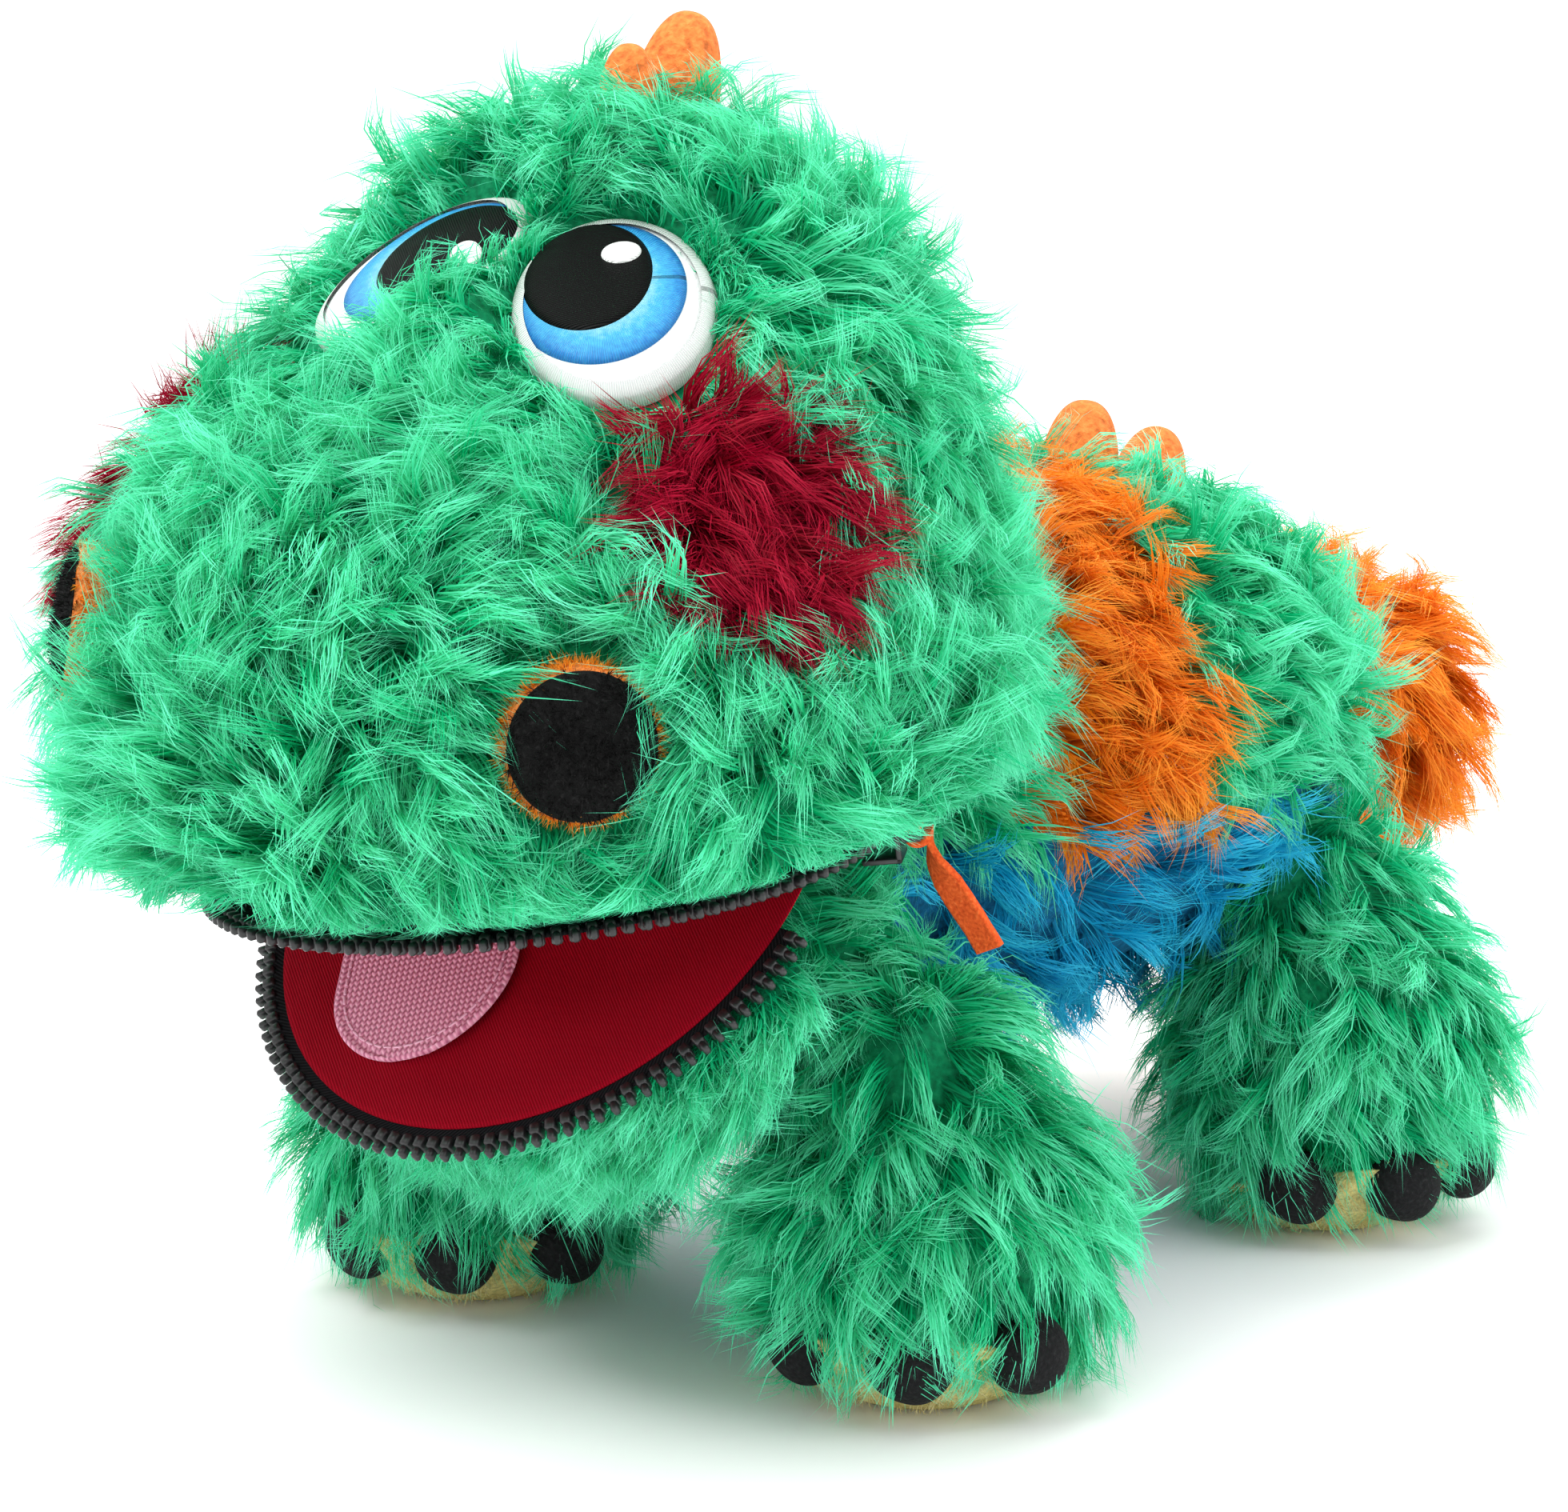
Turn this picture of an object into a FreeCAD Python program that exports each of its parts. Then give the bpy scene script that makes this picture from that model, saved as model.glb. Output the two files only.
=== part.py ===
"""A plush creature with a zip-edged mouth that opens and shuts.

Millimetres, +Z up. The creature stands on its four soles, at z = 0, and looks along -Y; +X is its left side.
The origin is on the floor, under the middle of its length and width.

Every soft part is a stuffing core under a shell of pile fabric. The shells are the pile as a hand presses it,
so the long hair stands further out. The head leans a little to its left, as a soft head does.
"""

import FreeCAD, Part
import math
import os

from FreeCAD import Placement, Rotation, Vector

# Driving sizes: (alias, value, what it is). Lengths in millimetres, angles in degrees.
SIZES = [
    ("pile", 8, "pile and backing on the head and torso"),
    ("leg_pile", 7, "pile and backing on the legs"),
    ("jaw_pile", 6, "pile and backing under the chin"),
    ("running_gap", 0.6, "gap between pieces that move past each other"),
    ("head_lean", 5.5, "the head leans this far to its left"),
    ("lean_height", 148, "height of the point that the head leans about"),
    ("lip_to_origin", 118.5, "from the middle of the mouth back to the origin"),
    ("crown_half_width", 60, "crown of the head"),
    ("crown_half_depth", 57, "crown of the head"),
    ("crown_half_height", 68, "crown of the head"),
    ("crown_setback", 15, "crown centre behind the middle of the mouth"),
    ("crown_height", 158, "crown centre above the floor"),
    ("muzzle_half_width", 78, "muzzle"),
    ("muzzle_half_depth", 76, "muzzle"),
    ("muzzle_half_height", 54, "muzzle"),
    ("muzzle_height", 130, "muzzle centre above the floor"),
    ("mouth_height", 98.5, "hinge line of the mouth above the floor"),
    ("mouth_tilt", 5.4, "upper lip, front down"),
    ("mouth_roll", 4, "upper lip, left corner up"),
    ("mouth_open", 39, "angle between the lips at rest"),
    ("lip_radius", 60, "pitch line of the zip's teeth"),
    ("lip_groove", 5.4, "half the slot between the lips that the zip runs in"),
    ("groove_end", 44, "the slot runs back to here, behind the hinge line"),
    ("tab_channel", 12, "height over the upper lip that the tab sweeps"),
    ("tooth_pitch", 3, "zip teeth"),
    ("tooth_width", 1.9, "zip teeth, along the zip"),
    ("tooth_depth", 4.2, "zip teeth, across the zip"),
    ("tooth_height", 2.8, "zip teeth"),
    ("tape_width", 8.5, "zip tape"),
    ("tape_thickness", 0.8, "zip tape"),
    ("lining_thickness", 1, "lining of the mouth"),
    ("upper_zip_end", 124, "upper row, either side of the front"),
    ("lower_zip_end", 80, "lower row, either side of the front"),
    ("fold_radius", 3, "fold of lining along the hinge line"),
    ("slider_park", 118, "where the slider stands, from the front"),
    ("slider_length", 9.5, "zip slider"),
    ("slider_wall", 1.1, "zip slider"),
    ("bail_wire", 0.8, "bar on the slider that the tab turns on"),
    ("bail_leg", 1.1, "legs that hold the bar"),
    ("tab_wall", 1.2, "felt folded round the bar"),
    ("tab_width", 6, "felt pull tab"),
    ("tab_length", 25, "felt pull tab"),
    ("tab_thickness", 1.8, "felt pull tab"),
    ("tab_swing", 24, "pull tab out from upright"),
    ("tongue_width", 38, "tongue"),
    ("tongue_length", 36, "tongue, root to tip"),
    ("tongue_thickness", 1.5, "tongue"),
    ("tongue_offset", 20, "tongue's root, to the right of the middle"),
    ("tongue_skew", 18, "tongue, tip to the left"),
    ("jaw_half_width", 61, "chin"),
    ("jaw_half_depth", 60, "chin"),
    ("jaw_half_height", 48, "chin"),
    ("jaw_back_angle", 92, "back face of the chin, down from the front"),
    ("throat_angle", 100, "front face of the throat, down from the front"),
    ("eye_half_width", 17.3, "felt eye patch"),
    ("eye_half_length", 21.5, "felt eye patch"),
    ("eye_puff", 4.5, "felt eye patch"),
    ("thread_layer", 0.7, "embroidery on the eye"),
    ("iris_half_width", 14.6, "iris"),
    ("iris_half_length", 17, "iris"),
    ("pupil_half_width", 11.4, "pupil"),
    ("pupil_half_length", 13.9, "pupil"),
    ("glint_radius", 3.4, "highlight in the eye"),
    ("eye_across", 21, "eye centres, out from the middle"),
    ("eye_ahead", 28, "eye centres, ahead of the crown's centre"),
    ("eye_above", 42, "eye centres, above the crown's centre"),
    ("eye_bearing", 21, "way the eyes face, either side of the nose"),
    ("eye_rise", 51.5, "way the eyes face, over the horizon"),
    ("eye_slant", 23, "tops of the eyes towards each other"),
    ("iris_inward", 1.7, "iris, from the patch's middle"),
    ("iris_upward", 2.6, "iris, from the patch's middle"),
    ("pupil_inward", 3.4, "pupil, from the patch's middle"),
    ("pupil_upward", 6.2, "pupil, from the patch's middle"),
    ("glint_aside", 6.3, "highlight, from the pupil's middle"),
    ("glint_upward", 2.8, "highlight, from the pupil's middle"),
    ("cheek_radius", 20, "cheek patch"),
    ("cheek_bearing", 58, "cheeks, either side of the nose"),
    ("cheek_rise", 12.5, "cheeks, above the crown's centre"),
    ("nostril_radius", 12.6, "nostril, over its plush band"),
    ("nostril_band", 1.6, "nostril's plush band"),
    ("nostril_stand", 9, "nostril out of the muzzle's core"),
    ("nostril_bearing", 43, "nostrils, either side of the nose"),
    ("nostril_rise", 7, "nostrils, above the muzzle's centre"),
    ("nostril_splay", 7, "nostrils' ends turned outward"),
    ("nostril_droop", 9, "nostrils' ends turned down"),
    ("torso_half_width", 60, "torso"),
    ("torso_half_length", 98, "torso"),
    ("torso_half_height", 50, "torso"),
    ("torso_setback", 141, "torso centre behind the middle of the mouth"),
    ("torso_height", 100, "torso centre above the floor"),
    ("chest_half_width", 42, "chest, under the head"),
    ("chest_half_length", 34, "chest, under the head"),
    ("chest_half_height", 34, "chest, under the head"),
    ("chest_setback", 41, "chest centre behind the middle of the mouth"),
    ("chest_height", 83, "chest centre above the floor"),
    ("band_width", 40, "orange band round the torso"),
    ("band_radius", 99.6, "curve of the band in side view"),
    ("band_curve_setback", 195, "middle of that curve, behind the middle of the mouth"),
    ("band_curve_height", 73, "middle of that curve, above the floor"),
    ("belly_height", 88, "top edge of the belly panel"),
    ("tail_half_width", 27, "tail"),
    ("tail_half_length", 42, "tail"),
    ("tail_setback", 271, "tail centre behind the middle of the mouth"),
    ("tail_height", 85, "tail centre above the floor"),
    ("front_foot_x", 53, "front feet, out from the middle"),
    ("front_foot_setback", 43, "front feet, behind the middle of the mouth"),
    ("rear_foot_x", 60, "rear feet, out from the middle"),
    ("rear_foot_setback", 179, "rear feet, behind the middle of the mouth"),
    ("leg_half_width", 34, "leg, over its pile"),
    ("leg_half_length", 36, "leg, over its pile"),
    ("front_leg_half_height", 34, "front leg, over its pile"),
    ("rear_leg_half_height", 40, "rear leg, over its pile"),
    ("leg_sink", 4, "leg's round end cut off by the flat sole"),
    ("sole_height", 9.5, "plush sole, at its middle"),
    ("sole_curl", 15, "sole up towards the toes"),
    ("hip_radius", 21, "round end of the leg that turns at the seam"),
    ("front_hip_height", 58, "front legs' swing axis above the floor"),
    ("rear_hip_height", 66, "rear legs' swing axis above the floor"),
    ("front_seam_x", 36, "seam of the front legs, out from the middle"),
    ("rear_seam_x", 40, "seam of the rear legs, out from the middle"),
    ("leg_sway", 7.5, "room along Y for a leg's swing"),
    ("toe_radius", 8.5, "black toe"),
    ("toe_spread", 44, "angle between toes"),
    ("toe_height", 13, "toe centre above the floor"),
    ("nub_radius", 8.5, "soft spine nub"),
    ("head_nub_height", 23, "nubs out of the head's core"),
    ("back_nub_height", 18, "nubs out of the back's core"),
]
SHEET = "Sizes"
BIG = 600.0  # half the size of the boxes that stand for half a space

# Each leg: side, x sign, front or rear, and the way its toes point, from -Y towards +X.
LEGS = [
    ("front_left", 1, "front", 28),
    ("front_right", -1, "front", 30),
    ("rear_left", 1, "rear", 62),
    ("rear_right", -1, "rear", -62),
]

doc = FreeCAD.newDocument("MouthPuppet")
sheet = doc.addObject("Spreadsheet::Sheet", SHEET)
size = {}
for row, (alias, number, meaning) in enumerate(SIZES, start=1):
    sheet.set(f"A{row}", meaning)
    sheet.set(f"B{row}", str(number))
    sheet.setAlias(f"B{row}", alias)
    size[alias] = number
doc.recompute()

subparts = []


# ---- Small helpers ----------------------------------------------------------------------------------------


def bind(thing, **formulas):
    """Binds properties to the sheet. A formula is written with the aliases; each becomes Sizes.alias."""
    for name, formula in formulas.items():
        words = [f"{SHEET}.{w}" if w in size else w for w in formula.split()]
        thing.setExpression(name, " ".join(words))
    return thing


def move(x=0.0, y=0.0, z=0.0):
    """A placement that only moves."""
    return Placement(Vector(x, y, z), Rotation())


def turn(axis, degrees):
    """A placement that only turns, about a row axis given as a letter."""
    axes = {"x": Vector(1, 0, 0), "y": Vector(0, 1, 0), "z": Vector(0, 0, 1)}
    return Placement(Vector(), Rotation(axes[axis], degrees))


def ellipsoid(name, place, x, y, z):
    """An ellipsoid whose three radii are formulas."""
    made = bind(doc.addObject("Part::Ellipsoid", name), Radius2=x, Radius3=y, Radius1=z)
    made.Placement = place
    return made


def grown(name, place, x, y, z, layer):
    """The ellipsoid a layer larger than the one with those three radii."""
    return ellipsoid(name, place, f"{x} + {layer}", f"{y} + {layer}", f"{z} + {layer}")


def cylinder(name, place, radius, height):
    """A cylinder along its placement's Z."""
    made = bind(doc.addObject("Part::Cylinder", name), Radius=radius, Height=height)
    made.Placement = place
    return made


def box(name, place, length, width, height):
    """A box centred on its placement in X and Y, and standing on it in Z."""
    made = bind(doc.addObject("Part::Box", name), Length=length, Width=width, Height=height)
    middle = move(-value_of(made, "Length") / 2, -value_of(made, "Width") / 2)
    made.Placement = place * middle
    return made


def value_of(thing, name):
    """A bound property's number, once the thing is up to date."""
    thing.recompute()
    return getattr(thing, name).Value


def half_space(name, place):
    """Everything over the placement's XY plane."""
    made = doc.addObject("Part::Box", name)
    made.Length = made.Width = 2 * BIG
    made.Height = BIG
    made.Placement = place * move(-BIG, -BIG)
    return made


def joined(name, *things):
    """Several solids as one."""
    made = doc.addObject("Part::MultiFuse", name)
    made.Shapes = list(things)
    made.Refine = False
    return made


def shared(name, *things):
    """What several solids have in common."""
    made = doc.addObject("Part::MultiCommon", name)
    made.Shapes = list(things)
    made.Refine = False
    return made


def without(name, base, *tools):
    """A solid less others, one after another."""
    for number, tool in enumerate(tools):
        last = number == len(tools) - 1
        made = doc.addObject("Part::Cut", name if last else f"{name}_step_{number}")
        made.Base = base
        made.Tool = tool
        made.Refine = False
        base = made
    return base


def keep(thing, label):
    """Names a thing as a sub-part of its own."""
    thing.Label = label
    subparts.append(thing)
    return thing


def ellipse_prism(name, place, half_width, half_length, depth):
    """An elliptical prism standing on its placement's XY plane, longer along Y."""
    outline = doc.addObject("Part::Ellipse", f"{name}_outline")
    bind(outline, MajorRadius=half_length, MinorRadius=half_width)
    outline.Placement = place * turn("z", 90)
    prism = doc.addObject("Part::Extrusion", name)
    prism.Base = outline
    prism.DirMode = "Custom"
    prism.Dir = place.Rotation.multVec(Vector(0, 0, 1))
    prism.Solid = True
    bind(prism, LengthFwd=depth)
    return prism


def ring_slice(name, place, inner, outer, height, half_angle):
    """A flat ring standing on its placement's XY plane, half_angle degrees either side of -Y."""
    start = place * turn("z", -90 - size[half_angle])
    disc = cylinder(f"{name}_disc", start, outer, height)
    hole = cylinder(f"{name}_hole", start * turn("z", -1), inner, height)
    bind(disc, Angle=f"{half_angle} * 2")
    bind(hole, Angle=f"{half_angle} * 2 + 2")
    return without(name, disc, hole)


# ---- Frames ----------------------------------------------------------------------------------------------

lips = move(0, -size["lip_to_origin"])
lean = move(0, 0, size["lean_height"]) * turn("y", size["head_lean"]) * move(0, 0, -size["lean_height"])
face = lips * lean
hinge = lips * move(0, 0, size["mouth_height"]) * turn("y", -size["mouth_roll"])
mouth = hinge * turn("x", size["mouth_tilt"])
jaw = mouth * turn("x", size["mouth_open"])
body = move(0, -size["lip_to_origin"])


def radius_towards(direction, radii):
    """Distance from an ellipsoid's centre to its surface along a unit direction."""
    x, y, z = (direction[i] / radii[i] for i in range(3))
    return 1 / math.sqrt(x * x + y * y + z * z)


def bearing(degrees, rise):
    """Unit direction from a bearing off -Y towards +X, and a rise over the horizon."""
    b, r = math.radians(degrees), math.radians(rise)
    return Vector(math.sin(b) * math.cos(r), -math.cos(b) * math.cos(r), math.sin(r))


def on_surface(centre, radii, degrees, rise):
    """A placement on an ellipsoid's surface: Z out along its normal, and Y uphill."""
    direction = bearing(degrees, rise)
    point = direction * radius_towards(direction, radii)
    normal = Vector(*(point[i] / radii[i] ** 2 for i in range(3))).normalize()
    across = Vector(0, 0, 1).cross(normal).normalize()
    uphill = normal.cross(across)
    return Placement(centre + point, Rotation(across, uphill, normal, "ZXY"))


CROWN_CENTRE = Vector(0, size["crown_setback"], size["crown_height"])
CROWN_RADII = (size["crown_half_width"], size["crown_half_depth"], size["crown_half_height"])
MUZZLE_CENTRE = Vector(0, 0, size["muzzle_height"])
MUZZLE_RADII = (size["muzzle_half_width"], size["muzzle_half_depth"], size["muzzle_half_height"])


# ---- Head ------------------------------------------------------------------------------------------------


def make_head():
    """Head stuffing, head skin, cheeks, nostrils and eyes."""
    crown_place = face * move(*CROWN_CENTRE)
    muzzle_place = face * move(*MUZZLE_CENTRE)
    crown_sizes = ("crown_half_width", "crown_half_depth", "crown_half_height")
    muzzle_sizes = ("muzzle_half_width", "muzzle_half_depth", "muzzle_half_height")
    crown = ellipsoid("crown_core", crown_place, *crown_sizes)
    muzzle = ellipsoid("muzzle_core", muzzle_place, *muzzle_sizes)
    crown_out = grown("crown_outer", crown_place, *crown_sizes, "pile")
    muzzle_out = grown("muzzle_outer", muzzle_place, *muzzle_sizes, "pile")
    core = joined("head_core", crown, muzzle)
    outer = joined("head_outer", crown_out, muzzle_out)
    floor = size["running_gap"] / 2 + size["tooth_height"] / 2 + size["tape_thickness"] / 2 + 0.2
    over_mouth = half_space("over_mouth", mouth * move(0, 0, floor))
    slot = lip_groove("groove", mouth, "lip_groove", 1)
    groove = without("groove_cut", *slot, behind_groove("groove_back"))
    channel = without("channel_cut", *tab_channel(), behind_groove("channel_back"))
    shell = without("head_shell", outer, core)
    holes = []
    pads = []
    seats = []
    for side, sign in (("left", 1), ("right", -1)):
        pads.append(make_eye(side, sign))
        holes.append(make_cheek(side, sign, shell))
        seat, hole = make_nostril(side, sign)
        seats.append(seat)
        holes.append(hole)
    upper_core = shared("core_over_mouth", core, over_mouth)
    keep(without("head_stuffing", upper_core, groove, channel, *pads, *seats), "head_stuffing")
    upper_shell = shared("shell_over_mouth", shell, over_mouth)
    palate_room = cylinder("palate_room", mouth, "lip_radius - tooth_depth / 2 - 2", "tab_channel")
    keep(without("head_skin", upper_shell, groove, channel, palate_room, *pads, *holes), "head_skin")
    return shared("head_block", outer, over_mouth)


def lip_groove(name, place, height, sign):
    """The slot over a row of teeth that the slider's plate runs in: a disc and the hole in it."""
    start = place if sign > 0 else place * turn("x", 180)
    low = start * move(0, 0, -size["lip_groove"])
    disc = cylinder(f"{name}_disc", low, "lip_radius * 2", f"{height} * 2")
    hole = cylinder(f"{name}_hole", low, "lip_radius - tooth_depth / 2 - 2", f"{height} * 2")
    return disc, hole


def tab_channel():
    """The room over the upper lip that the bar and the tab sweep: a disc and the hole in it."""
    start = mouth * move(0, 0, -size["tab_channel"])
    disc = cylinder("channel_disc", start, "lip_radius * 2", "tab_channel * 2")
    hole = cylinder("channel_hole", start, "lip_radius + tooth_depth / 2 + 1", "tab_channel * 2")
    return disc, hole


def behind_groove(name):
    """All the space behind the ends of the slot."""
    return half_space(name, mouth * move(0, size["groove_end"]) * turn("x", -90))


def make_eye(side, sign):
    """A puffed felt patch with an embroidered iris, pupil and highlight. Returns the room it needs."""
    normal = bearing(sign * size["eye_bearing"], size["eye_rise"])
    across = Vector(0, 0, 1).cross(normal).normalize()
    aim = Placement(Vector(), Rotation(across, normal.cross(across), normal, "ZXY"))
    spot = CROWN_CENTRE + Vector(sign * size["eye_across"], -size["eye_ahead"], size["eye_above"])
    place = face * move(*spot) * aim * turn("z", sign * size["eye_slant"])
    above = half_space(f"over_eye_{side}", place)
    puff = ellipsoid(f"eye_puff_{side}", place, "eye_half_width", "eye_half_length", "eye_puff")
    eye_sizes = ("eye_half_width", "eye_half_length", "eye_puff")
    sewn = grown(f"eye_grown_{side}", place, *eye_sizes, "thread_layer")
    thread = without(f"eye_thread_{side}", shared(f"eye_cap_{side}", sewn, above), puff)
    iris_place = place * move(-sign * size["iris_inward"], size["iris_upward"])
    pupil_place = place * move(-sign * size["pupil_inward"], size["pupil_upward"])
    glint_place = pupil_place * move(size["glint_aside"], size["glint_upward"])
    depth = "eye_puff * 2"
    iris = ellipse_prism(f"iris_prism_{side}", iris_place, "iris_half_width", "iris_half_length", depth)
    pupil = ellipse_prism(f"pupil_prism_{side}", pupil_place, "pupil_half_width", "pupil_half_length", depth)
    glint = cylinder(f"glint_prism_{side}", glint_place, "glint_radius", depth)
    keep(shared(f"eye_patch_{side}", puff, above), f"eye_patch_{side}")
    iris_disc = shared(f"iris_disc_{side}", thread, iris)
    pupil_disc = shared(f"pupil_disc_{side}", thread, pupil)
    keep(without(f"eye_iris_{side}", iris_disc, pupil, glint), f"eye_iris_{side}")
    keep(without(f"eye_pupil_{side}", pupil_disc, glint), f"eye_pupil_{side}")
    keep(shared(f"eye_highlight_{side}", thread, glint), f"eye_highlight_{side}")
    room = "thread_layer + running_gap"
    return ellipse_prism(
        f"eye_room_{side}", place, f"eye_half_width + {room}", f"eye_half_length + {room}", "pile * 5"
    )


def make_cheek(side, sign, shell):
    """A round patch of long crimson pile. Returns the hole it needs."""
    place = face * on_surface(CROWN_CENTRE, CROWN_RADII, sign * size["cheek_bearing"], size["cheek_rise"])
    low = place * move(0, 0, -size["pile"])
    punch = cylinder(f"cheek_punch_{side}", low, "cheek_radius", "pile * 6")
    keep(shared(f"cheek_{side}", shell, punch), f"cheek_{side}")
    return punch


def make_nostril(side, sign):
    """A short plush-sided drum with a black plush end. Returns its seat and its hole in the skin."""
    spot = on_surface(MUZZLE_CENTRE, MUZZLE_RADII, sign * size["nostril_bearing"], size["nostril_rise"])
    place = face * spot * turn("y", sign * size["nostril_splay"]) * turn("x", size["nostril_droop"])
    place = place * move(0, 0, -1)
    drum = cylinder(f"nostril_drum_{side}", place, "nostril_radius", "nostril_stand")
    plug = cylinder(f"nostril_{side}", place, "nostril_radius - nostril_band", "nostril_stand")
    keep(without(f"nostril_band_{side}", drum, plug), f"nostril_band_{side}")
    keep(plug, f"nostril_disc_{side}")
    under = place * move(0, 0, -size["running_gap"] / 2)
    seat = cylinder(f"nostril_seat_{side}", under, "nostril_radius + running_gap", "pile * 5")
    low = place * move(0, 0, -size["pile"])
    return seat, cylinder(f"nostril_hole_{side}", low, "nostril_radius + running_gap", "pile * 6")


# ---- Mouth: zip, lining, jaw, tongue, slider and pull tab ------------------------------------------------


def tooth_shape():
    """One moulded tooth at the origin, pointing along -Y: a clamp on the tape, then a narrower head."""
    width, depth, height = size["tooth_width"], size["tooth_depth"], size["tooth_height"]
    neck = 0.55 * depth
    clamp = Part.makeBox(width, neck, height, Vector(-width / 2, -neck, 0))
    head_width, head_height = 0.7 * width, 0.75 * height
    head_low = (height - head_height) / 2
    head = Part.makeBox(head_width, depth - neck, head_height, Vector(-head_width / 2, -depth, head_low))
    return clamp.fuse(head)


def make_teeth(name, place, half_angle, low, offset):
    """One row of teeth along the lip, a tooth pitch apart, as a group of separate solids."""
    step = math.degrees(size["tooth_pitch"] / size["lip_radius"])
    root_radius = size["lip_radius"] - size["tooth_depth"] / 2
    tooth = tooth_shape()
    tooth.translate(Vector(0, -root_radius, low))
    count = int((half_angle - 1) / step - offset)
    row = []
    for number in range(-count, count + 1):
        one = tooth.copy()
        one.Placement = turn("z", (number + offset) * step) * tooth.Placement
        row.append(one)
    teeth = doc.addObject("Part::Feature", name)
    teeth.Shape = Part.makeCompound(row)
    teeth.Placement = place
    keep(teeth, name)


def make_zip():
    """Tapes, teeth and end stops. The tape lies flat inside the teeth."""
    outer = "lip_radius - tooth_depth / 2 - 0.1"
    inner = f"{outer} - tape_width"
    half_gap = size["running_gap"] / 2
    tape_low = half_gap + size["tooth_height"] / 2 - size["tape_thickness"] / 2
    over = mouth * move(0, 0, tape_low)
    under = jaw * move(0, 0, -tape_low - size["tape_thickness"])
    for row, place in (("upper", over), ("lower", under)):
        name = f"zip_tape_{row}"
        keep(ring_slice(name, place, inner, outer, "tape_thickness", f"{row}_zip_end"), name)
    make_teeth("zip_teeth_upper", mouth, size["upper_zip_end"] - 4, half_gap, 0)
    make_teeth("zip_teeth_lower", jaw, size["lower_zip_end"], -half_gap - size["tooth_height"], 0.5)
    stops = []
    for side, sign in (("left", 1), ("right", -1)):
        way = turn("z", sign * (size["upper_zip_end"] - 1.5))
        spot = mouth * way * move(0, -size["lip_radius"], half_gap)
        stops.append(box(f"zip_stop_{side}", spot, "tooth_pitch * 0.8", "tooth_depth", "tooth_height"))
    keep(joined("zip_stops", *stops), "zip_stops")


def lining_disc(name, place, low, clear):
    """A lining panel inside the tape: a disc cut straight, clear of the fold along the hinge line."""
    radius = "lip_radius - tooth_depth / 2 - tape_width - 0.2"
    disc = cylinder(f"{name}_disc", place * move(0, 0, low), radius, "lining_thickness")
    back = half_space(f"{name}_back", place * move(0, -clear) * turn("x", -90))
    return keep(without(name, disc, back), name)


def make_lining():
    """Palate, floor and the fold between them."""
    low = size["running_gap"] / 2 + size["tooth_height"] / 2 - size["lining_thickness"] / 2
    clear = size["fold_radius"] + size["running_gap"]
    lining_disc("palate_lining", mouth, low, clear)
    lining_disc("floor_lining", jaw, -low - size["lining_thickness"], clear)
    across = mouth * turn("y", 90) * move(0, 0, -size["lip_radius"] + size["tape_width"] + 3)
    roll = cylinder("fold_roll", across, "fold_radius", "( lip_radius - tape_width - 3 ) * 2")
    above = half_space("over_fold", mouth * move(0, 0, low + size["lining_thickness"]))
    behind = half_space("behind_fold", hinge * move(0, size["fold_radius"] / 2) * turn("x", -90))
    keep(without("pocket_fold", roll, above, behind), "pocket_fold")


def make_jaw():
    """The chin: stuffing and its skin, in front of the throat and under the lower lip."""
    place = lips * move(0, 0, size["mouth_height"])
    jaw_sizes = ("jaw_half_width", "jaw_half_depth", "jaw_half_height")
    core = ellipsoid("jaw_core", place, *jaw_sizes)
    outer = grown("jaw_outer", place, *jaw_sizes, "jaw_pile")
    top = size["running_gap"] / 2 + size["tooth_height"] / 2 + size["tape_thickness"] / 2 + 0.2
    under = half_space("under_floor", jaw * move(0, 0, -top) * turn("x", 180))
    groove = without("jaw_groove_cut", *lip_groove("jaw_groove", jaw, "lip_groove", -1))
    back_off = size["fold_radius"] + size["running_gap"]
    ahead = half_space("ahead_of_throat", hinge * turn("x", size["jaw_back_angle"]) * move(0, 0, back_off))
    filling = shared("jaw_filling", core, under, ahead)
    keep(without("jaw_stuffing", filling, groove), "jaw_stuffing")
    shell = shared("jaw_shell", without("jaw_pile_round", outer, core), under, ahead)
    keep(without("jaw_skin", shell, groove), "jaw_skin")


def make_tongue():
    """A flat webbing tongue with a round tip and a rolled root, on the floor of the mouth."""
    floor = size["running_gap"] / 2 + size["tooth_height"] / 2 - size["lining_thickness"] / 2
    back = size["fold_radius"] + size["running_gap"]
    back += size["tongue_width"] / 2 * math.sin(math.radians(size["tongue_skew"]))
    spot = jaw * move(-size["tongue_offset"], -back, -floor + 0.3) * turn("z", size["tongue_skew"])
    straight = size["tongue_length"] - size["tongue_width"] / 2
    middle = spot * move(0, -straight / 2)
    straight_formula = "tongue_length - tongue_width / 2"
    strap = box("tongue_strap", middle, "tongue_width", straight_formula, "tongue_thickness")
    end = spot * move(0, -straight) * turn("z", 180)
    tip = cylinder("tongue_tip", end, "tongue_width / 2", "tongue_thickness")
    tip.Angle = 180
    root = spot * move(-size["tongue_width"] / 2, 0, size["tongue_thickness"] / 2) * turn("y", 90)
    roll = cylinder("tongue_root", root, "tongue_thickness / 2", "tongue_width")
    keep(joined("tongue", strap, tip, roll), "tongue")


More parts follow.
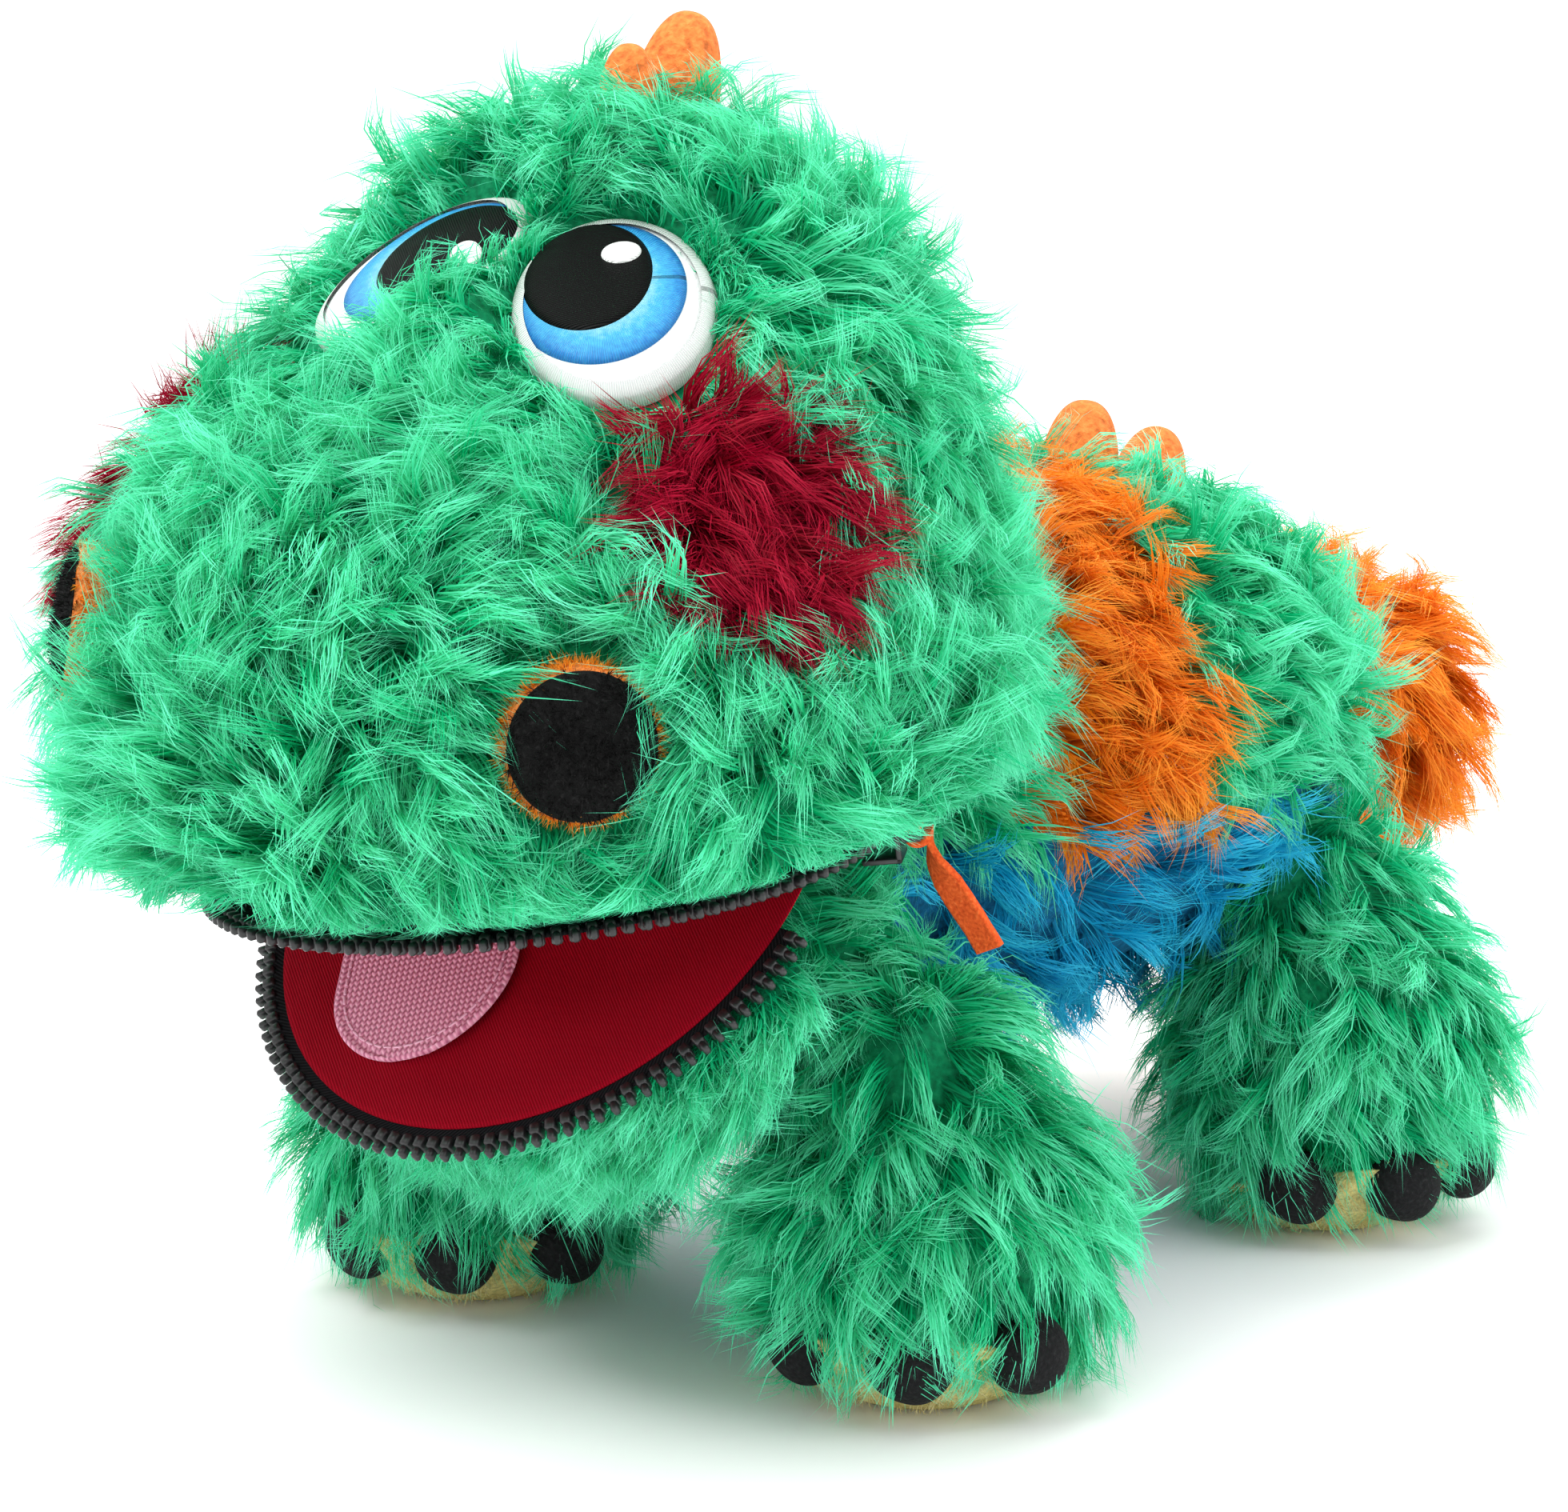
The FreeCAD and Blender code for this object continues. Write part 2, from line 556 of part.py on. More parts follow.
def make_slider():
    """A zip slider open towards the tape, the bar on its outer wall, and the felt tab round the bar."""
    place = mouth * turn("z", size["slider_park"])
    wall, gap, wire = size["slider_wall"], size["running_gap"] / 2, size["bail_wire"]
    inner = "lip_radius - tooth_depth / 2 - 1.5"
    outer = "lip_radius + tooth_depth / 2 + running_gap / 2"
    middle = size["lip_radius"] + (wall + gap - 1.5) / 2
    half_height = size["tooth_height"] + 2 * gap + wall
    block_spot = place * move(0, -middle, -half_height)
    high = "( tooth_height + running_gap + slider_wall ) * 2"
    block = box("slider_block", block_spot, "slider_length", f"{outer} + slider_wall - ( {inner} )", high)
    mouth_spot = place * move(0, -middle + wall, -half_height + wall)
    hollow = box(
        "slider_hollow",
        mouth_spot,
        "slider_length * 2",
        f"{outer} + slider_wall - ( {inner} )",
        "( tooth_height + running_gap ) * 2",
    )
    keep(without("slider", block, hollow), "slider")

    face_at = size["lip_radius"] + size["tooth_depth"] / 2 + gap + wall
    bar_at = face_at + wire + 2 * gap + size["tab_wall"] + gap
    reach = bar_at - face_at + wire
    legs = []
    for side, sign in (("left", 1), ("right", -1)):
        x = sign * (size["slider_length"] - size["bail_leg"]) / 2
        spot = place * move(x, -face_at - reach / 2, -wire)
        legs.append(box(f"bail_leg_{side}", spot, "bail_leg", "bail_wire * 2 + running_gap * 1.5 + tab_wall",
                        "bail_wire * 2"))
    bar_spot = place * move(-size["slider_length"] / 2, -bar_at) * turn("y", 90)
    bar = cylinder("bail_bar", bar_spot, "bail_wire", "slider_length")
    keep(joined("slider_bail", *legs, bar), "slider_bail")

    hang = place * move(0, -bar_at) * turn("x", -size["tab_swing"])
    fold_spot = hang * move(-size["tab_width"] / 2) * turn("y", 90)
    fold = cylinder("tab_fold", fold_spot, "bail_wire + running_gap / 2 + tab_wall", "tab_width")
    eye = cylinder("tab_eye", fold_spot, "bail_wire + running_gap / 2", "tab_width")
    low = -size["tab_length"]
    strip_spot = hang * move(0, 0, low)
    strip = box("tab_strip", strip_spot, "tab_width", "tab_thickness", "tab_length - bail_wire - running_gap")
    keep(joined("pull_tab", without("tab_tube", fold, eye), strip), "pull_tab")


# ---- Torso and tail --------------------------------------------------------------------------------------


def make_torso(head_block, leg_rooms):
    """Torso stuffing, its five pile panels and the tail."""
    torso_place = body * move(0, size["torso_setback"], size["torso_height"])
    chest_place = body * move(0, size["chest_setback"], size["chest_height"])
    tail_place = body * move(0, size["tail_setback"], size["tail_height"])
    torso = ellipsoid("torso_core", torso_place, "torso_half_width", "torso_half_length", "torso_half_height")
    chest = ellipsoid("chest_core", chest_place, "chest_half_width", "chest_half_length", "chest_half_height")
    torso_out = grown(
        "torso_outer", torso_place, "torso_half_width", "torso_half_length", "torso_half_height", "pile"
    )
    chest_out = ellipsoid(
        "chest_outer",
        chest_place,
        "chest_half_width + pile",
        "chest_half_length + pile",
        "chest_half_height + jaw_pile",
    )
    throat = half_space("ahead_of_chest", hinge * turn("x", size["throat_angle"]))
    core = joined("body_core", torso, chest)
    outer = joined("body_outer", torso_out, chest_out)
    rooms = [head_block, throat, *leg_rooms]
    keep(without("torso_stuffing", torso, head_block, *leg_rooms), "torso_stuffing")
    keep(without("chest_stuffing", chest, torso, head_block, throat, *leg_rooms), "chest_stuffing")
    shell = without("body_shell", outer, core, *rooms)

    under = half_space("under_belly_line", body * move(0, 0, size["belly_height"]) * turn("x", 176))
    ahead = half_space("ahead_of_belly", body * move(0, size["chest_setback"] + 8) * turn("x", 90))
    lower = shared("shell_lower", shell, under)
    upper = without("shell_upper", shell, under)
    keep(shared("throat_panel", lower, ahead), "throat_panel")
    keep(without("belly_panel", lower, ahead), "belly_panel")
    front_curve = band_disc("band_front", -size["band_width"] / 2)
    rear_curve = band_disc("band_rear", size["band_width"] / 2)
    rear_middle = body * move(0, size["band_curve_setback"] + size["band_width"] / 2)
    behind = joined("behind_band", rear_curve, half_space("behind_curve", rear_middle * turn("x", -90)))
    keep(without("torso_band", shared("shell_in_band", upper, front_curve), behind), "torso_band")
    keep(without("shoulder_panel", upper, front_curve, behind), "shoulder_panel")
    keep(shared("rump_panel", upper, behind), "rump_panel")

    tail_sizes = ("tail_half_width", "tail_half_length", "tail_half_width")
    tail = ellipsoid("tail_core", tail_place, *tail_sizes)
    tail_out = grown("tail_outer", tail_place, *tail_sizes, "pile")
    keep(without("tail_stuffing", tail, outer), "tail_stuffing")
    keep(without("tail_skin", tail_out, tail, outer), "tail_skin")


def band_disc(name, shift):
    """A disc across the whole torso, whose front edge is one edge of the band."""
    middle = body * move(0, size["band_curve_setback"] + shift, size["band_curve_height"])
    across = middle * turn("y", 90) * move(0, 0, -2 * size["torso_half_width"])
    return cylinder(name, across, "band_radius", "torso_half_width * 4")


def make_nubs(place, centre, radii, rises, label):
    """Soft nubs on the middle line of an ellipsoid. A rise over 90 degrees is behind its top."""
    for name, rise, share in rises:
        spot = place * on_surface(centre, radii, 0, rise)
        around = f"nub_radius * {share}"
        nub = ellipsoid(f"{label}_{name}_round", spot, around, around, f"{label}_height * {share}")
        over = half_space(f"{label}_{name}_over", spot * move(0, 0, size["pile"] + 0.2))
        keep(shared(f"{label}_{name}", nub, over), f"{label}_{name}")


# ---- Legs ------------------------------------------------------------------------------------------------


def make_leg(name, sign, end, heading):
    """One leg: stuffing, skin, sole and three toes. Returns the room it needs in the torso."""
    half_height = f"{end}_leg_half_height"
    across, back = sign * size[f"{end}_foot_x"], size[f"{end}_foot_setback"]
    centre = body * move(across, back, size[half_height] - size["leg_sink"])
    hip = body * move(sign * size[f"{end}_seam_x"], back, size[f"{end}_hip_height"]) * turn("y", 90 * sign)
    hip_length = f"{end}_foot_x - {end}_seam_x + 8"
    outer_ball = ellipsoid(f"{name}_ball", centre, "leg_half_width", "leg_half_length", half_height)
    inner_ball = ellipsoid(
        f"{name}_ball_core",
        centre,
        "leg_half_width - leg_pile",
        "leg_half_length - leg_pile",
        f"{half_height} - leg_pile",
    )
    outer_hip = cylinder(f"{name}_hip", hip, "hip_radius", hip_length)
    inner_hip = cylinder(f"{name}_hip_core", hip, "hip_radius - leg_pile", f"{hip_length} - leg_pile")
    curl = turn("z", heading) * turn("x", -size["sole_curl"])
    over_sole = half_space(f"{name}_over_sole", body * move(across, back, size["sole_height"]) * curl)
    over_floor = half_space(f"{name}_over_floor", body)
    core = joined(f"{name}_core", inner_ball, inner_hip)
    outer = joined(f"{name}_outer", outer_ball, outer_hip)
    keep(shared(f"{name}_stuffing", core, over_sole), f"leg_stuffing_{name}")
    keep(shared(f"{name}_skin", without(f"{name}_shell", outer, core), over_sole), f"leg_skin_{name}")
    keep(without(f"{name}_sole", shared(f"{name}_foot", outer_ball, over_floor), over_sole), f"sole_{name}")

    toes = []
    reach = size["leg_half_width"] - size["toe_radius"] / 3
    for number in (-1, 0, 1):
        way = bearing(heading + number * size["toe_spread"], 0)
        spot = body * move(across + reach * way.x, back + reach * way.y, size["toe_height"])
        toes.append(ellipsoid(f"{name}_toe_{number + 2}", spot, "toe_radius", "toe_radius", "toe_radius"))
    toes_round = joined(f"{name}_toes_round", *toes)
    above_floor = shared(f"{name}_toes_over", toes_round, over_floor)
    keep(without(f"{name}_toes", above_floor, outer_ball), f"toes_{name}")

    ball_room = ellipsoid(
        f"{name}_ball_room",
        centre,
        "leg_half_width + running_gap",
        "leg_half_length + leg_sway",
        f"{half_height} + running_gap * 3",
    )
    gap = size["running_gap"]
    seam = hip * move(0, 0, -gap)
    hip_room = cylinder(f"{name}_hip_room", seam, "hip_radius + running_gap", f"{hip_length} + 60")
    return ball_room, hip_room


# ---- Build, check and write ------------------------------------------------------------------------------


def build():
    """Makes every sub-part."""
    head_block = make_head()
    make_zip()
    make_lining()
    make_jaw()
    make_tongue()
    make_slider()
    leg_rooms = [room for leg in LEGS for room in make_leg(*leg)]
    make_torso(head_block, leg_rooms)
    make_nubs(face, CROWN_CENTRE, CROWN_RADII, (("front", 89, 0.7), ("rear", 99, 1.0)), "head_nub")
    torso_radii = (size["torso_half_width"], size["torso_half_length"], size["torso_half_height"])
    torso_centre = Vector(0, size["torso_setback"], size["torso_height"])
    make_nubs(body, torso_centre, torso_radii, (("front", 126, 1.0), ("rear", 147, 1.0)), "back_nub")


def check_and_write():
    """Stops on any failed object, then writes one STEP file for each sub-part."""
    doc.recompute()
    for thing in doc.Objects:
        if {"Invalid", "Error"} & set(thing.State):
            raise RuntimeError(f"{thing.Name} failed: {thing.State}")
    os.makedirs("parts", exist_ok=True)
    for thing in subparts:
        shape = thing.Shape
        if shape.isNull() or not shape.isValid() or not shape.Solids:
            raise RuntimeError(f"{thing.Label} has no valid solid")
        shape.exportStep(f"parts/{thing.Label}.step")
    total = Part.makeCompound([thing.Shape for thing in subparts]).BoundBox
    print(f"{len(subparts)} sub-parts, box {total}")


build()
check_and_write()
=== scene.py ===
"""A plush creature with a zip-edged mouth that opens and shuts, dressed in long curly pile.

Sizes are in millimetres in the row frame (+Z up, -Y towards the nose, +X its left side) and become metres
when a mesh is made. Every operator builds one piece, or one group of like pieces, at the world's origin.
"""

import math

import bmesh
import bpy
import numpy as np
from bpy.props import FloatProperty, FloatVectorProperty, IntProperty, PointerProperty
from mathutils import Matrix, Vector


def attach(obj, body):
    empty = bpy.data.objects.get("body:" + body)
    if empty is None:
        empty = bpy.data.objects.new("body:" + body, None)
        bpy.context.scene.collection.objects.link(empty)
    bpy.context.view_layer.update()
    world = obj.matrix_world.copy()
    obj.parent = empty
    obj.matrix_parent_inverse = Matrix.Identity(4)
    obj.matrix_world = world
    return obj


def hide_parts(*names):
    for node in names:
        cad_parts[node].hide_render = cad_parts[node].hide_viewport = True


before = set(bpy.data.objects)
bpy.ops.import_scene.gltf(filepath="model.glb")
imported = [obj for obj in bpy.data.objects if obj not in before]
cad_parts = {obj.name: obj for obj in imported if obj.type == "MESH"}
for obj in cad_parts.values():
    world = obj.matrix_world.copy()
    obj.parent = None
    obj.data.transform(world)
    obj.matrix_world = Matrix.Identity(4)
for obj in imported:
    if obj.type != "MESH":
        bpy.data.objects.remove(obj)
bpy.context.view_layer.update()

bl_info = {
    "name": "Plush mouth creature",
    "version": (1, 0, 0),
    "blender": (4, 5, 0),
    "location": "3D View > Sidebar > Plush",
    "description": "Builds a long-haired plush creature with a zip-edged mouth",
    "category": "Add Mesh",
}

MM = 0.001
DOWN = np.array([0.0, 0.0, -1.0])
LEGS = (
    ("front_left", 53, -75.5, 34, 58, 28),
    ("front_right", -53, -75.5, 34, 58, 30),
    ("rear_left", 60, 60.5, 40, 66, 62),
    ("rear_right", -60, 60.5, 40, 66, -62),
)  # name, x and y of the foot, half height, height of the swing axis, heading of the toes
SINK = 4  # a leg's round end is cut off this far up by the floor


# ---- Places ----------------------------------------------------------------------------------------------


def move(x=0.0, y=0.0, z=0.0):
    """A 4 x 4 matrix that moves."""
    matrix = np.eye(4)
    matrix[:3, 3] = (x, y, z)
    return matrix


def turn(axis, degrees):
    """A 4 x 4 matrix that turns about X, Y or Z."""
    c, s = math.cos(math.radians(degrees)), math.sin(math.radians(degrees))
    i, j = {"x": (1, 2), "y": (2, 0), "z": (0, 1)}[axis]
    matrix = np.eye(4)
    matrix[i, i] = matrix[j, j] = c
    matrix[i, j], matrix[j, i] = -s, s
    return matrix


def out(matrix, points):
    """Local points in the row frame."""
    return np.asarray(points, float) @ matrix[:3, :3].T + matrix[:3, 3]


def into(matrix, points):
    """Row-frame points in the place's own axes."""
    return (points - matrix[:3, 3]) @ matrix[:3, :3]


LIPS = move(0, -118.5)
FACE = LIPS @ move(0, 0, 148) @ turn("y", 5.5) @ move(0, 0, -148)
HINGE = LIPS @ move(0, 0, 98.5) @ turn("y", -4)
MOUTH = HINGE @ turn("x", 5.4)
JAW = MOUTH @ turn("x", 39)
LIP_RADIUS = 60.0
CROWN, CROWN_R = np.array([0, 15, 158.0]), np.array([60, 57, 68.0])
MUZZLE, MUZZLE_R = np.array([0, 0, 130.0]), np.array([78, 76, 54.0])
CHIN, CHIN_R = np.array([0, -118.5, 98.5]), np.array([61, 60, 48.0])
TORSO, TORSO_R = np.array([0, 22.5, 100]), np.array([60, 98, 50.0])
CHEST, CHEST_R = np.array([0, -77.5, 83]), np.array([42, 34, 34.0])
TAIL, TAIL_R = np.array([0, 152.5, 85]), np.array([27, 42, 27.0])
HEAD_MIDDLE = out(FACE, [[0, 5, 140]])[0]
CHIN_MIDDLE = np.array([0, -136, 72.0])
TORSO_MIDDLE = np.array([0, 10, 98.0])
BAND_CURVE = np.array([76.5, 73.0])  # y and z of the middle of the band's curve in side view
BAND_RADIUS = 99.6
BAND_HALF = 20
TOOTH_PITCH = 3.0
TEETH_ROOT = 57.9  # where the teeth start on the tape
TEETH_OVER = 1.7  # middle of a row of teeth over its lip's plane
UPPER_END, STOP_AT, LOWER_END = 124, 122.5, 80  # ends of the rows and the stops, degrees from the front
SLIDER_PARK = 118


def unit(vectors):
    """Vectors at length one."""
    return vectors / np.maximum(np.linalg.norm(vectors, axis=-1, keepdims=True), 1e-9)


def bearing(degrees, rise):
    """Unit direction from a bearing off -Y towards +X, and a rise over the horizon."""
    b, r = math.radians(degrees), math.radians(rise)
    return np.array([math.sin(b) * math.cos(r), -math.cos(b) * math.cos(r), math.sin(r)])


def aimed(spot, normal):
    """A place at spot with Z along normal and Y uphill."""
    across = unit(np.cross([0, 0, 1.0], normal))
    matrix = np.eye(4)
    matrix[:3, 0], matrix[:3, 1], matrix[:3, 2], matrix[:3, 3] = across, np.cross(normal, across), normal, spot
    return matrix


def on_round(centre, radii, degrees, rise):
    """A place on an ellipsoid's surface."""
    direction = bearing(degrees, rise)
    point = direction / np.linalg.norm(direction / radii)
    return aimed(centre + point, unit(point / radii**2))


EYES = {}
NOSTRILS = {}
CHEEKS = {}
CHEEK_REACH = {"left": 16.5, "right": 19.5}
for side, sign in (("left", 1), ("right", -1)):
    looking = aimed(CROWN + [sign * 21, -28, 42], bearing(sign * 21, 51.5))
    EYES[side] = FACE @ looking @ turn("z", sign * 23)
    snout = on_round(MUZZLE, MUZZLE_R, sign * 43 + (0 if sign > 0 else 3), 7)
    NOSTRILS[side] = FACE @ snout @ turn("y", sign * 7) @ turn("x", 9) @ move(0, 0, -1)
    shift = (0.0, 0.0) if sign > 0 else (-3.0, -17.0)
    CHEEKS[side] = FACE @ on_round(CROWN, CROWN_R, sign * 58, 12.5) @ move(*shift)


# ---- Soft shapes as distance fields ------------------------------------------------------------------------


def egg(points, centre, radii):
    """Signed distance to an ellipsoid, near its surface."""
    q = (points - centre) / radii
    k = np.linalg.norm(q, axis=-1)
    return k * (k - 1) / np.maximum(np.linalg.norm(q / radii, axis=-1), 1e-9)


def melt(a, b, width):
    """Union of two fields with a soft valley."""
    h = np.clip(0.5 + 0.5 * (b - a) / width, 0, 1)
    return b * (1 - h) + a * h - width * h * (1 - h)


def lip_rise(lip):
    """Height over the mouth's plane, in its own axes, that the pile and the head keep clear of the teeth."""
    return 5.4 + 0.23 * np.maximum(np.hypot(lip[:, 0], lip[:, 1]) - 60, 0)


def head_field(points):
    """Backing of the head, over the mouth."""
    p = into(FACE, points)
    round_head = melt(egg(p, CROWN, CROWN_R), egg(p, MUZZLE, MUZZLE_R), 16)
    for place in EYES.values():
        q = into(place, points)
        ring = (np.hypot(q[:, 0] / 18.0, q[:, 1] / 22.2) - 1) * 20
        bowl = np.where(q[:, 2] > -8, np.maximum(ring * 0.75 - q[:, 2] * 0.66, -q[:, 2] - 0.3), 99)
        round_head = -melt(-round_head, bowl, 5)
    lip = into(MOUTH, points)
    return np.maximum(round_head, lip_rise(lip) + 0.2 - lip[:, 2])


def jaw_field(points):
    """Backing of the chin, under the lower lip and ahead of the throat."""
    round_jaw = egg(points, CHIN, CHIN_R)
    top = into(JAW, points)[:, 2] + 5.6
    back = into(HINGE, points)[:, 1] + 3.6
    return np.maximum(np.maximum(round_jaw, top), back)


def torso_field(points):
    """Backing of the torso and chest."""
    torso = melt(egg(points, TORSO, TORSO_R), egg(points, CHEST, CHEST_R), 12)
    return np.maximum(torso, into(HINGE, points)[:, 1] * -1 + 5)


def tail_field(points):
    """Backing of the tail."""
    return egg(points, TAIL, TAIL_R)


def leg_field(leg):
    """Backing of one leg, with its round upper end."""
    name, x, y, half, hip, heading = leg
    upper = np.array([x * 0.86, y, hip])
    low = np.array([x, y, half - SINK])

    def field(points):
        ball = egg(points, low, np.array([27.5, 29.5, half - 7.0]))
        thigh = egg(points, upper, np.array([20, 17, 17.0]))
        return np.maximum(melt(ball, thigh, 8), 6 - points[:, 2])

    return field


def round_mesh(field, centre, rows=110, columns=200, reach=160):
    """Points, normals and triangles of a star-shaped field, found along rays from its centre."""
    v = np.linspace(0, math.pi, rows)
    u = np.linspace(0, 2 * math.pi, columns, endpoint=False)
    vv, uu = np.meshgrid(v, u, indexing="ij")
    ways = np.stack([np.sin(vv) * np.cos(uu), np.sin(vv) * np.sin(uu), np.cos(vv)], -1).reshape(-1, 3)
    near, far = np.zeros(len(ways)), np.full(len(ways), float(reach))
    for _ in range(22):
        middle = (near + far) / 2
        inside = field(centre + ways * middle[:, None]) < 0
        near, far = np.where(inside, middle, near), np.where(inside, far, middle)
    points = centre + ways * near[:, None]
    steps = np.eye(3) * 0.5
    slope = np.stack([field(points + s) - field(points - s) for s in steps], -1)
    i = np.arange(rows - 1)[:, None] * columns
    j = np.arange(columns)[None, :]
    k = (j + 1) % columns
    quads = np.stack([i + j, i + columns + j, i + columns + k, i + k], -1).reshape(-1, 4)
    return points, unit(slope), quads


# ---- Materials -------------------------------------------------------------------------------------------


class Paint:
    """Builds one material out of procedural nodes."""

    def __init__(self, name, color, rough=0.8, sheen=0.0, specular=0.5):
        self.material = bpy.data.materials.new(name)
        self.material.use_nodes = True
        self.tree = self.material.node_tree
        self.shader = self.tree.nodes["Principled BSDF"]
        self.shader.inputs["Base Color"].default_value = (*color, 1)
        self.shader.inputs["Roughness"].default_value = rough
        self.shader.inputs["Sheen Weight"].default_value = sheen
        self.shader.inputs["Sheen Tint"].default_value = (*color, 1)
        self.shader.inputs["Sheen Roughness"].default_value = 0.5
        self.shader.inputs["Specular IOR Level"].default_value = specular

    def node(self, kind, links=None, **values):
        """A node, its settings and what feeds its inputs."""
        made = self.tree.nodes.new(kind)
        for key, value in values.items():
            if hasattr(made, key) and key not in made.inputs:
                setattr(made, key, value)
            else:
                made.inputs[key].default_value = value
        for key, source in (links or {}).items():
            self.tree.links.new(source, made.inputs[key])
        return made

    def attribute(self, name):
        """The factor of a named attribute."""
        return self.node("ShaderNodeAttribute", attribute_name=name).outputs["Fac"]

    def ramp(self, source, stops):
        """A colour ramp fed by source."""
        made = self.node("ShaderNodeValToRGB", {"Fac": source})
        elements = made.color_ramp.elements
        while len(elements) < len(stops):
            elements.new(0.5)
        for element, (at, color) in zip(elements, stops):
            element.position = at
            element.color = (*color, 1)
        return made.outputs["Color"]

    def maths(self, operation, *terms):
        """A maths node of sockets and numbers."""
        made = self.node("ShaderNodeMath", operation=operation)
        for socket, term in zip(made.inputs, terms):
            if isinstance(term, (int, float)):
                socket.default_value = term
            else:
                self.tree.links.new(term, socket)
        return made.outputs[0]

    def noise(self, scale, detail):
        """Noise in 1/metres over the object's own coordinates."""
        place = self.node("ShaderNodeTexCoord").outputs["Object"]
        return self.node("ShaderNodeTexNoise", {"Vector": place}, Scale=scale, Detail=detail).outputs["Fac"]

    def color(self, socket):
        """Feeds the base colour."""
        self.tree.links.new(socket, self.shader.inputs["Base Color"])
        return self

    def bump(self, source, depth):
        """Feeds the normal with a bump of that depth in millimetres."""
        made = self.node("ShaderNodeBump", {"Height": source}, Distance=depth * MM, Strength=1.0)
        self.tree.links.new(made.outputs["Normal"], self.shader.inputs["Normal"])
        return self


def pile_paint(name, dark, middle, light, glow):
    """Pile: darker at the roots as painted shade between the wisps, lighter at the tips as partly the fibre's paler
    tips and partly painted highlight, with each wisp a little different.
    """
    paint = Paint(name, middle, 0.60, 0.06, 0.18)
    along, tone = paint.attribute("along"), paint.attribute("tone")
    patch = paint.noise(28, 2)
    mix = paint.maths("MULTIPLY_ADD", tone, 0.34, paint.maths("MULTIPLY_ADD", patch, 0.22, -0.30))
    # The ramp runs from the painted root shade through the middle colour to tips that carry painted highlight.
    where = paint.maths("MULTIPLY_ADD", along, 0.62, paint.maths("ADD", mix, 0.22))
    shade = paint.ramp(where, ((0.0, dark), (0.42, middle), (0.78, light), (1.0, light)))
    paint.color(shade)
    glowing = paint.node("ShaderNodeBsdfTranslucent", {"Color": shade})
    both = paint.node("ShaderNodeMixShader", Fac=glow)
    end = paint.tree.nodes["Material Output"]
    paint.tree.links.new(paint.shader.outputs[0], both.inputs[1])
    paint.tree.links.new(glowing.outputs[0], both.inputs[2])
    paint.tree.links.new(both.outputs[0], end.inputs["Surface"])
    return paint.material


def plush_paint(name, color, grain=900, depth=0.5, sheen=0.6):
    """Short plush: a fine soft grain with a sheen."""
    paint = Paint(name, color, 0.9, sheen, 0.2)
    fine = paint.noise(grain, 4)
    deep = tuple(c * 0.55 for c in color)
    pale = tuple(min(1, c * 1.25 + 0.01) for c in color)
    paint.color(paint.ramp(fine, ((0.3, deep), (0.55, color), (0.75, pale))))
    return paint.bump(fine, depth).material


PAINTS = {}


